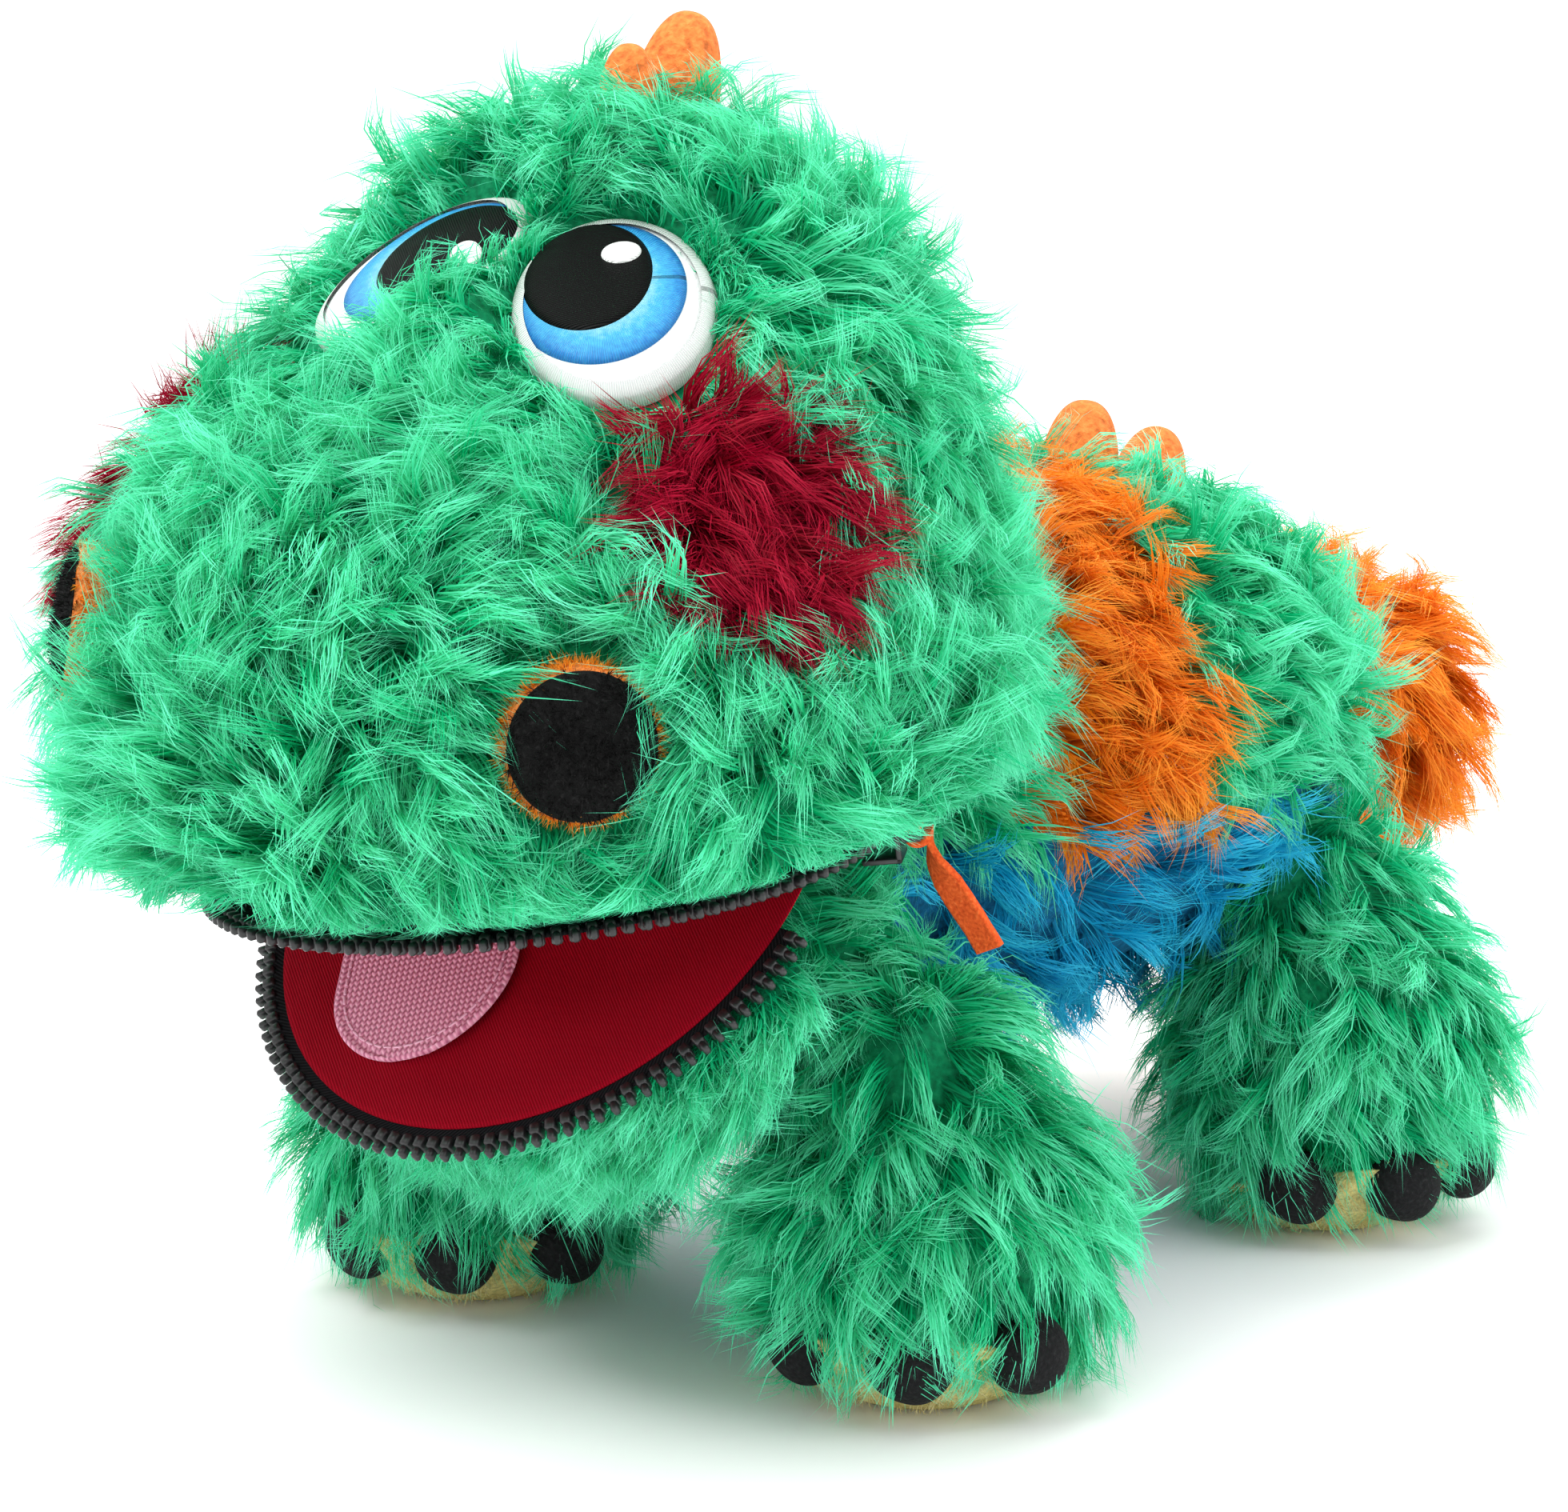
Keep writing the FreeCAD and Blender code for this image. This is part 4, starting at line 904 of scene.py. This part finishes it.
class PLUSH_OT_leg_pile(bpy.types.Operator):
    """Green pile hanging down the legs."""

    bl_idname = "plush.leg_pile"
    bl_label = "Leg pile"
    bl_options = {"REGISTER", "UNDO"}

    def execute(self, context):
        """Grows each leg's pile on its own body."""
        sizes = context.scene.plush
        for number, leg in enumerate(LEGS):
            name, x, y, half, hip, heading = leg
            shape = round_mesh(leg_field(leg), np.array([x, y, half - 2.0]))
            ahead = bearing(heading, 0)

            def weight(points):
                """Above the sole and outside the torso."""
                rise = 10 + 0.27 * ((points - [x, y, 0]) @ ahead)
                return ((points[:, 2] > rise) & (torso_field(points) > -1)) * 1.0

            roots, normals = scatter(shape, sizes.wisps_leg, weight, 80 + number)
            low = np.clip((30 - roots[:, 2]) / 20, 0, 1)
            front = np.clip(((roots - [x, y, 0]) @ ahead) / 28, 0, 1)
            flow = swirl(roots, 10 + number, 30) * 0.9 + DOWN * 1.1
            length = 24 * (1 - 0.30 * low * front - 0.10 * low)
            hair(f"leg_{name}_pile", roots, normals, flow, length, "green", f"leg_{name}", 90 + number, weight=0.45)
        return {"FINISHED"}


def oval_cap(place, dome, centre, half, layer, rings=14, columns=96, inner=0.0):
    """An oval of cloth lying on a dome, as a closed piece: points, quads and its attributes."""
    u = np.linspace(0, 2 * math.pi, columns, endpoint=False)
    shares = list(np.linspace(inner, 1, rings)) + [1.0]
    lift = [layer * min(1.0, (1 - s) * half[0] / 0.5 + 0.35) for s in shares[:-1]] + [-0.8]
    points = []
    for share, high in zip(shares, lift):
        x, y = centre[0] + half[0] * share * np.cos(u), centre[1] + half[1] * share * np.sin(u)
        depth = dome[2] * np.sqrt(np.clip(1 - (x / dome[0]) ** 2 - (y / dome[1]) ** 2, 0.0, 1))
        points.append(np.stack([x, y, depth + high], 1))
    points = np.concatenate(points)
    quads = grid_quads(len(shares), columns, True)[:, ::-1]
    around = np.tile(u, len(shares))
    outward = np.repeat(shares, columns)
    facts = {"around": around, "outward": outward, "across": points[:, 1]}
    return out(place, points), quads, facts


class PLUSH_OT_eyes(bpy.types.Operator):
    """Puffed felt eyes with a satin rim and embroidered iris, pupil and highlight."""

    bl_idname = "plush.eyes"
    bl_label = "Eyes"
    bl_options = {"REGISTER", "UNDO"}

    def execute(self, context):
        """Makes five pieces for each eye."""
        dome = (17.3, 21.5, 4.5)
        facts = ("around", "outward", "across")
        for side, place in EYES.items():
            sign = 1 if side == "left" else -1
            pupil_at = (-sign * 3.4, 6.2)
            glint_at = (pupil_at[0] + 6.3, pupil_at[1] + 2.8)
            rows = (
                (f"eye_{side}_felt", (0, 0), (17.2, 21.4), 0.05, 0.0, "felt", f"eye_patch_{side}"),
                (f"eye_{side}_rim", (0, 0), (17.5, 21.7), 0.75, 0.86, "rim", None),
                (f"eye_{side}_iris", (-sign * 1.7, 2.6), (14.6, 17.0), 0.55, 0.0, "iris", f"eye_iris_{side}"),
                (f"eye_{side}_pupil", pupil_at, (11.4, 13.9), 1.0, 0.0, "pupil", f"eye_pupil_{side}"),
                (f"eye_{side}_glint", glint_at, (3.6, 2.9), 1.4, 0.0, "glint", f"eye_highlight_{side}"),
            )
            for name, centre, half, layer, inner, paint, node in rows:
                part = oval_cap(place, dome, centre, half, layer, 14, 104, inner)
                made = joined_mesh(name, [part], paint, facts)
                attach(made, "body")
                if node:
                    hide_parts(node)
        return {"FINISHED"}


class PLUSH_OT_nostrils(bpy.types.Operator):
    """Nostrils: a black plush end in an orange plush band."""

    bl_idname = "plush.nostrils"
    bl_label = "Nostrils"
    bl_options = {"REGISTER", "UNDO"}

    def execute(self, context):
        """Makes the drum, its end and their short pile."""
        u = np.linspace(0, 2 * math.pi, 96, endpoint=False)
        for side, place in NOSTRILS.items():
            profiles = {
                "band": [(12.0, 0), (12.5, 1.5), (12.7, 4.5), (12.5, 7.0), (12.0, 8.2), (11.4, 8.6), (11.0, 7.0)],
                "disc": [(0.01, 10.4), (4.0, 10.3), (8.0, 9.9), (10.6, 9.2), (12.2, 8.2), (11.6, 7.2), (11.0, 3.0)],
            }
            for kind, profile in profiles.items():
                points = np.concatenate([np.stack([r * np.cos(u), r * np.sin(u), u * 0 + z], 1) for r, z in profile])
                quads = grid_quads(len(profile), 96, True)
                if kind == "disc":
                    quads = quads[:, ::-1]
                paint = "orange plush" if kind == "band" else "black plush"
                made = add_mesh(f"nostril_{side}_{kind}", out(place, points), quads, paint)
                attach(made, "body")
                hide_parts(f"nostril_{kind}_{side}")
            rng = np.random.default_rng(101)
            spin, high = rng.uniform(0, 6.3, 700), rng.uniform(0.5, 7.6, 700)
            ring = np.stack([12.6 * np.cos(spin), 12.6 * np.sin(spin), high], 1)
            facing = np.stack([np.cos(spin), np.sin(spin), spin * 0 + 0.15], 1)
            self.short(f"nostril_{side}_band_pile", place, ring, facing, "orange", 103)
            radius = 12.1 * np.sqrt(rng.random(1100))
            spin = rng.uniform(0, 6.3, 1100)
            face = np.stack([radius * np.cos(spin), radius * np.sin(spin), 10.3 - radius**2 / 76], 1)
            tip = 0.9 * (radius / 12) ** 2
            up = np.stack([tip * np.cos(spin), tip * np.sin(spin), spin * 0 + 1], 1)
            self.short(f"nostril_{side}_disc_pile", place, face, up, "black", 104)
        return {"FINISHED"}

    def short(self, name, place, roots, normals, paint, seed):
        """Short upright pile in a place's own axes."""
        normals = unit(normals @ place[:3, :3].T)
        rng = np.random.default_rng(seed)
        flow = rng.normal(size=roots.shape) + DOWN * 0.3
        hair(name, out(place, roots), normals, flow, np.full(len(roots), 1.9), paint, "body", seed, strands=5,
             spread=0.6, gather=0.1, width=0.26, lean=0.3, bend=0.1, weight=0.1, curl=0.2, frizz=0.05, stray_share=0)


class PLUSH_OT_nubs(bpy.types.Operator):
    """Soft spine nubs on the crown and back."""

    bl_idname = "plush.nubs"
    bl_label = "Nubs"
    bl_options = {"REGISTER", "UNDO"}

    def execute(self, context):
        """Makes four rounded nubs."""
        rows = (
            ("head_nub_front", FACE @ on_round(CROWN, CROWN_R, 0, 89), 0.7, 23),
            ("head_nub_rear", FACE @ on_round(CROWN, CROWN_R, 0, 99), 1.0, 23),
            ("back_nub_front", on_round(TORSO, TORSO_R, 0, 126), 1.0, 18),
            ("back_nub_rear", on_round(TORSO, TORSO_R, 0, 147), 1.0, 18),
        )
        u = np.linspace(0, 2 * math.pi, 64, endpoint=False)
        for name, place, share, height in rows:
            v = np.linspace(0, math.pi / 2, 26)
            points = []
            for angle in v:
                r = 8.5 * share * math.cos(angle) ** 0.8 * (1 + 0.03 * np.sin(3 * u + angle))
                points.append(np.stack([r * np.cos(u), r * np.sin(u), u * 0 + height * share * math.sin(angle)], 1))
            made = add_mesh(name + "_plush", out(place, np.concatenate(points)), grid_quads(26, 64, True), "nub")
            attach(made, "body")
            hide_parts(name)
        return {"FINISHED"}


def ring_grid(place, inner, outer, low, high, half_angle, ripple=0.0, rows=10, columns=220):
    """A thin flat ring round the mouth as a closed slab with weave attributes."""
    a = np.radians(np.linspace(-half_angle, half_angle, columns))
    r = np.linspace(inner, outer, rows)
    rr, aa = np.meshgrid(r, a, indexing="ij")
    wave = ripple * (np.sin(9 * aa + 1) + 0.6 * np.sin(23 * aa)) * (1 - (rr - inner) / (outer - inner))
    flat = np.stack([rr * np.sin(aa), -rr * np.cos(aa)], -1)
    top = np.concatenate([flat, (high + wave)[..., None]], -1).reshape(-1, 3)
    bottom = np.concatenate([flat, (low + wave)[..., None]], -1).reshape(-1, 3)
    points, quads = slab(top, bottom, rows, columns)
    weave = {"warp": np.tile((aa * 54).ravel(), 2), "weft": np.tile(rr.ravel(), 2)}
    return out(place, points), quads, weave


def tooth_parts():
    """One moulded zip tooth: a clamp on the tape, a neck and a round head, pointing along -Y."""
    parts = [soft_box((1.95, 2.3, 2.8), (0, -1.15, 0), 0.35, 1), soft_box((1.35, 2.2, 2.1), (0, -3.05, 0), 0.4, 1)]
    points = np.concatenate([p for p, _ in parts])
    faces = np.concatenate([parts[0][1], parts[1][1] + len(parts[0][0])])
    return points, faces


class PLUSH_OT_zip(bpy.types.Operator):
    """Both rows of zip teeth, their woven tapes and the end stops."""

    bl_idname = "plush.zip"
    bl_label = "Zip"
    bl_options = {"REGISTER", "UNDO"}

    def execute(self, context):
        """Makes each row on its own lip."""
        points, faces = tooth_parts()
        step = math.degrees(TOOTH_PITCH / LIP_RADIUS)
        rows = (
            ("upper", MOUTH, 120, UPPER_END, 0.0, TEETH_OVER, "body"),
            ("lower", JAW, LOWER_END, LOWER_END, 0.5, -TEETH_OVER, "jaw"),
        )
        for name, place, half, end, offset, middle, body in rows:
            count = int((half - 1) / step - offset)
            parts = []
            for number in range(-count, count + 1):
                spot = place @ turn("z", (number + offset) * step) @ move(0, -TEETH_ROOT, middle)
                parts.append((out(spot, points), faces))
            teeth = joined_mesh(f"zip_{name}_row", parts, "tooth")
            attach(teeth, body)
            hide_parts(f"zip_teeth_{name}")
            ribbon = ring_grid(place, 49.3, 58.4, middle - 0.4, middle + 0.4, end, 0.12)
            tape = joined_mesh(f"zip_{name}_tape", [ribbon], "tape")
            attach(tape, body)
            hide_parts(f"zip_tape_{name}")
        stops = []
        for sign in (1, -1):
            spot = MOUTH @ turn("z", sign * STOP_AT) @ move(0, -LIP_RADIUS, TEETH_OVER)
            block, block_faces = soft_box((2.4, 4.2, 2.8), (0, 0, 0), 0.4, 2)
            stops.append((out(spot, block), block_faces))
        made = joined_mesh("zip_end_blocks", stops, "tooth")
        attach(made, "body")
        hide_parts("zip_stops")
        return {"FINISHED"}


class PLUSH_OT_lining(bpy.types.Operator):
    """Red twill inside the mouth: palate, floor and the fold between them."""

    bl_idname = "plush.lining"
    bl_label = "Mouth lining"
    bl_options = {"REGISTER", "UNDO"}

    def execute(self, context):
        """Makes two half discs and the fold that bends between them."""
        for name, place, body, node in (
            ("palate_twill", MOUTH, "body", "palate_lining"),
            ("floor_twill", JAW, "jaw", "floor_lining"),
        ):
            a = np.radians(np.linspace(-90, 90, 120))
            r = np.linspace(0.5, 55.6, 44)
            rr, aa = np.meshgrid(r, a, indexing="ij")
            x, y = rr * np.sin(aa), -rr * np.cos(aa) - 0.6
            calm = np.clip((50 - rr) / 14, 0, 1) * np.clip(-y / 8, 0, 1)
            fold = 0.5 * np.sin(x / 5.5 + y / 9) + 0.45 * np.sin(y / 4.2 - x / 17 + 1) + 0.2 * np.sin(x / 2.9 + 2)
            near = 1.02 if body == "body" else -1.02
            height = near + np.sign(near) * calm * (0.75 + fold * 0.7)
            top = np.stack([x, y, height + 0.15], -1).reshape(-1, 3)
            bottom = top - [0, 0, 0.3]
            points, quads = slab(top, bottom, 44, 120)
            weave = {"warp": np.tile(x.ravel(), 2), "weft": np.tile(y.ravel(), 2)}
            made = joined_mesh(name, [(out(place, points), quads, weave)], "lining")
            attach(made, body)
            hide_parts(node)
        half = np.linspace(-50, 50, 120)
        sweep = np.linspace(math.radians(-50), math.radians(50), 12)
        ss, xx = np.meshgrid(sweep, half, indexing="ij")
        middle = MOUTH @ turn("x", 19.5)
        bulge = 2.6 * np.sqrt(np.clip(1 - (xx / 52) ** 2, 0.02, 1))
        top = np.stack([xx, bulge * np.cos(ss) - 2.6, bulge * np.sin(ss) * 1.25], -1).reshape(-1, 3)
        bottom = top + [0, 0.7, 0]
        points, quads = slab(top, bottom, 12, 120)
        weave = {"warp": np.tile(xx.ravel(), 2), "weft": np.tile(ss.ravel() * 3, 2)}
        made = joined_mesh("mouth_fold", [(out(middle, points), quads, weave)], "lining")
        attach(made, "body")
        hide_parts("pocket_fold")
        return {"FINISHED"}

    def bed(self, body):
        """The padded piece that the lining is stitched over."""
        return "head_body" if body == "body" else "chin_body"


class PLUSH_OT_tongue(bpy.types.Operator):
    """A ribbed webbing tongue with a stitched hem."""

    bl_idname = "plush.tongue"
    bl_label = "Tongue"
    bl_options = {"REGISTER", "UNDO"}

    def execute(self, context):
        """Makes the webbing and its row of stitches."""
        back = 3.6 + 19 * math.sin(math.radians(18))
        place = JAW @ move(-20, -back, -0.9) @ turn("z", 18)
        rows, columns = 70, 60
        t = np.linspace(0, 1, rows)
        s = np.linspace(-1, 1, columns)
        tt, sg = np.meshgrid(t, s, indexing="ij")
        y = -36 * tt
        tip = np.clip((-y - 17) / 19, 0, 1)
        half = 19 * np.sqrt(np.clip(1 - tip**2, 0.0004, 1))
        x = half * sg
        edge = 1 - np.clip(np.minimum(half * (1 - np.abs(sg)), 36 * (1 - tt)) / 0.9, 0, 1)
        hem = np.exp(-((half * (1 - np.abs(sg)) - 2.4) ** 2) / 0.5) * (tt < 0.97)
        rise = 0.35 * tt**2 + 0.25 * np.sin(x / 7) * tt
        top = np.stack([x, y, 1.5 + rise - 0.5 * edge**2 - 0.35 * hem], -1).reshape(-1, 3)
        bottom = np.stack([x, y, 0.15 + rise + 0.4 * edge**2], -1).reshape(-1, 3)
        points, quads = slab(top, bottom, rows, columns)
        weave = {"warp": np.tile(x.ravel(), 2), "weft": np.tile(y.ravel(), 2)}
        made = joined_mesh("tongue_webbing", [(out(place, points), quads, weave)], "tongue")
        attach(made, "tongue")
        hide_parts("tongue")
        path = [(-16.6, -y) for y in np.linspace(1, 17, 9)]
        path += [(16.6 * math.sin(a), 17 + 16.6 * math.cos(a)) for a in np.linspace(-1.45, 1.45, 22)]
        path += [(16.6, -y) for y in np.linspace(-17, -1, 9)]
        stitches = []
        for (x0, y0), (x1, y1) in zip(path[:-1:1], path[1::1]):
            y0, y1 = -abs(y0), -abs(y1)
            length = math.hypot(x1 - x0, y1 - y0)
            way = math.degrees(math.atan2(y1 - y0, x1 - x0))
            at = -(y0 + y1) / 2 / 36
            lift = 1.42 + 0.35 * at**2 + 0.25 * math.sin((x0 + x1) / 14) * at
            spot = place @ move((x0 + x1) / 2, (y0 + y1) / 2, lift) @ turn("z", way)
            block, faces = soft_box((length * 0.78, 0.5, 0.42), (0, 0, 0), 0.19, 2)
            stitches.append((out(spot, block), faces))
        made = joined_mesh("tongue_stitches", stitches, "stitch")
        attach(made, "tongue")
        return {"FINISHED"}


class PLUSH_OT_slider(bpy.types.Operator):
    """The zip's slider with its bar, and the felt tab folded round the bar."""

    bl_idname = "plush.slider"
    bl_label = "Slider and tab"
    bl_options = {"REGISTER", "UNDO"}

    def execute(self, context):
        """Makes the slider, the bar and the tab."""
        place = MOUTH @ turn("z", SLIDER_PARK)
        inner, outer = 56.4, 62.4
        blocks = [
            soft_box((9.5, outer + 1.1 - inner, 1.1), (0, -(inner + outer + 1.1) / 2, 3.95), 0.3, 2),
            soft_box((9.5, outer + 1.1 - inner, 1.1), (0, -(inner + outer + 1.1) / 2, -3.95), 0.3, 2),
            soft_box((9.5, 1.1, 9.0), (0, -outer - 0.55, 0), 0.3, 2),
        ]
        made = joined_mesh("slider_shell", [(out(place, p), f) for p, f in blocks], "metal")
        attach(made, "slider")
        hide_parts("slider")
        bar_at = 63.5 + 0.8 + 0.6 + 1.2 + 0.3
        reach = bar_at - 63.5 + 0.8
        blocks = [soft_box((1.1, reach, 1.6), (x, -63.5 - reach / 2, 0), 0.3, 2) for x in (-4.2, 4.2)]
        blocks.append(soft_box((9.5, 1.55, 1.55), (0, -bar_at, 0), 0.6, 3))
        made = joined_mesh("slider_bar", [(out(place, p), f) for p, f in blocks], "metal")
        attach(made, "slider")
        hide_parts("slider_bail")

        hang = place @ move(0, -bar_at) @ turn("x", -24)
        rows, columns = 90, 14
        path = []
        for at in np.linspace(0, 1, rows):
            if at < 0.3:
                angle = math.radians(-60 + 330 * at / 0.3)
                path.append((1.75 * math.sin(angle), 1.75 * math.cos(angle)))
            else:
                down = (at - 0.3) / 0.7
                path.append((-1.4 + 1.2 * min(1, down * 5) + 0.35 * math.sin(down * 5), -1.0 - 23.8 * down))
        path = np.array(path)
        along = unit(np.gradient(path, axis=0))
        normal = np.stack([-along[:, 1], along[:, 0]], 1)
        x = np.linspace(-3, 3, columns)
        thick = 0.62
        rng = np.random.default_rng(7)
        wobble = np.interp(np.arange(rows), np.arange(0, rows, 6), rng.normal(0, 0.12, len(range(0, rows, 6))))
        sheets = []
        for sign in (1, -1):
            y = path[:, 0] + normal[:, 0] * thick * sign
            z = path[:, 1] + normal[:, 1] * thick * sign
            yy, xx = np.meshgrid(y, x, indexing="ij")
            zz = np.repeat(z[:, None], columns, 1)
            widen = 1 + (wobble / 3)[:, None] * np.abs(x / 3)[None, :] ** 3
            sheets.append(np.stack([xx * widen, yy, zz], -1).reshape(-1, 3))
        points, quads = slab(sheets[0], sheets[1], rows, columns)
        twist = np.radians(58) * np.clip((-points[:, 2] - 1.5) / 9, 0, 1)
        c, d = np.cos(twist), np.sin(twist)
        points = np.stack([points[:, 0] * c - points[:, 1] * d, points[:, 0] * d + points[:, 1] * c, points[:, 2]], 1)
        made = joined_mesh("felt_tab", [(out(hang, points), quads)], "tab")
        closed(made)
        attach(made, "pull_tab")
        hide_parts("pull_tab")
        return {"FINISHED"}


class PLUSH_OT_feet(bpy.types.Operator):
    """Cream plush soles and black toes."""

    bl_idname = "plush.feet"
    bl_label = "Feet"
    bl_options = {"REGISTER", "UNDO"}

    def execute(self, context):
        """Makes one sole and three toes for each leg."""
        for number, (name, x, y, half, hip, heading) in enumerate(LEGS):
            tilt = move(x, y, 9.5) @ turn("z", heading) @ turn("x", -15)
            centre = np.array([x, y, half - SINK])

            def field(points):
                """The foot of the leg, between the floor and the tilted seam."""
                ball = egg(points, centre, np.array([33.5, 35.5, half * 1.0]))
                return np.maximum(np.maximum(ball, into(tilt, points)[:, 2]), 0.1 - points[:, 2])

            points, normals, quads = round_mesh(field, np.array([x, y, 4.5]), 60, 140, 60)
            made = add_mesh(f"sole_{name}_plush", points, quads, "cream")
            closed(made)
            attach(made, f"leg_{name}")
            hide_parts(f"sole_{name}")
            keep = lambda p: ((p[:, 2] > 1.2) & (into(tilt, p)[:, 2] < -0.3)) * 1.0
            roots, facing = scatter((points, normals, quads), 520, keep, 120 + number)
            flow = np.random.default_rng(121).normal(size=roots.shape) + DOWN * 0.4
            hair(f"sole_{name}_nap", roots, facing, flow, np.full(len(roots), 2.4), "cream nap", f"leg_{name}",
                 125 + number, strands=7, spread=1.2, gather=0.1, width=0.26, lean=0.35, bend=0.15, weight=0.15,
                 frizz=0.05, stray_share=0)

            u = np.linspace(0, 2 * math.pi, 48, endpoint=False)
            v = np.linspace(-math.pi / 2, math.pi / 2, 32)
            vv, uu = np.meshgrid(v, u, indexing="ij")
            ball = np.stack([np.cos(vv) * np.cos(uu), np.cos(vv) * np.sin(uu), np.sin(vv)], -1).reshape(-1, 3)
            parts = []
            for way in (-44, 0, 44):
                direction = bearing(heading + way, 0)
                spot = np.array([x, y, 13.0]) + direction * 28.6
                grown = ball * [8.0, 7.2, 7.4] * (1 + 0.02 * np.sin(ball[:, :1] * 5 + way))
                grown = grown * [1, 0.92, 1] @ turn("z", heading + way)[:3, :3].T
                parts.append((grown + spot, grid_quads(32, 48, True)))
            made = joined_mesh(f"toes_{name}_plush", parts, "toe")
            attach(made, f"leg_{name}")
            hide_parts(f"toes_{name}")
        return {"FINISHED"}


class PLUSH_OT_stage(bpy.types.Operator):
    """Floor, soft studio light and camera."""

    bl_idname = "plush.stage"
    bl_label = "Stage"
    bl_options = {"REGISTER", "UNDO"}

    def execute(self, context):
        """Makes a curved floor, three lights and the camera."""
        world = bpy.context.scene.world or bpy.data.worlds.new("Studio")
        bpy.context.scene.world = world
        world.use_nodes = True
        bpy.context.scene.view_settings.view_transform = "Standard"
        world.node_tree.nodes["Background"].inputs["Color"].default_value = (1, 1, 1, 1)
        world.node_tree.nodes["Background"].inputs["Strength"].default_value = 1.0
        x = np.array([-4000, 4000.0])
        profile = [(-2500, 0), (1400, 0)] + [
            (1400 + 900 * math.sin(a), 900 - 900 * math.cos(a)) for a in np.linspace(0.1, math.pi / 2, 16)
        ] + [(2300, 4000)]
        back = turn("z", 36)
        points = np.array([(px, py, pz) for py, pz in profile for px in x])
        floor = add_mesh("studio_floor", out(back, points), grid_quads(len(profile), 2), "floor")
        for name, way, rise, far, power, size in (
            ("key", -25, 58, 1.5, 24, 1.0),
            ("fill", 95, 35, 1.6, 11, 1.3),
            ("back", 190, 50, 1.5, 12, 0.9),
        ):
            data = bpy.data.lights.new(name, "AREA")
            data.energy = power
            data.size = size
            lamp = bpy.data.objects.new(name, data)
            bpy.context.scene.collection.objects.link(lamp)
            self.aim(lamp, np.array([0, -0.02, 0.11]) + bearing(way, rise) * far, (0, -0.02, 0.11))
        data = bpy.data.cameras.new("camera")
        data.sensor_width = 36
        data.lens = 98.65
        data.clip_end = 50
        camera = bpy.data.objects.new("camera", data)
        bpy.context.scene.collection.objects.link(camera)
        target = np.array([0, -0.0475, 0.106])
        self.aim(camera, target + bearing(36, 11) * 0.82, target)
        bpy.context.scene.camera = camera
        return {"FINISHED"}

    def aim(self, thing, spot, target):
        """Puts a lamp or camera at spot, looking at target."""
        thing.location = spot
        thing.rotation_euler = (Vector(target) - Vector(spot)).to_track_quat("-Z", "Y").to_euler()


class PLUSH_PT_panel(bpy.types.Panel):
    """Sizes and build buttons."""

    bl_idname = "PLUSH_PT_panel"
    bl_label = "Plush creature"
    bl_space_type = "VIEW_3D"
    bl_region_type = "UI"
    bl_category = "Plush"

    def draw(self, context):
        """Draws the settings and one button for each operator."""
        for name in PlushSettings.__annotations__:
            self.layout.prop(context.scene.plush, name)
        for operator in OPERATORS:
            self.layout.operator(operator.bl_idname)


OPERATORS = (
    PLUSH_OT_backing,
    PLUSH_OT_head_pile,
    PLUSH_OT_cheeks,
    PLUSH_OT_chin_pile,
    PLUSH_OT_torso_pile,
    PLUSH_OT_tail_pile,
    PLUSH_OT_leg_pile,
    PLUSH_OT_eyes,
    PLUSH_OT_nostrils,
    PLUSH_OT_nubs,
    PLUSH_OT_zip,
    PLUSH_OT_lining,
    PLUSH_OT_tongue,
    PLUSH_OT_slider,
    PLUSH_OT_feet,
    PLUSH_OT_stage,
)


def register():
    """Registers the classes and the settings."""
    for cls in (PlushSettings, *OPERATORS, PLUSH_PT_panel):
        bpy.utils.register_class(cls)
    bpy.types.Scene.plush = PointerProperty(type=PlushSettings)


def unregister():
    """Removes the classes and the settings."""
    del bpy.types.Scene.plush
    for cls in reversed((PlushSettings, *OPERATORS, PLUSH_PT_panel)):
        bpy.utils.unregister_class(cls)


def main():
    """Builds the whole object."""
    register()
    make_paints(bpy.context.scene.plush)
    for operator in OPERATORS:
        group, name = operator.bl_idname.split(".")
        getattr(getattr(bpy.ops, group), name)()


if __name__ == "__main__":
    main()
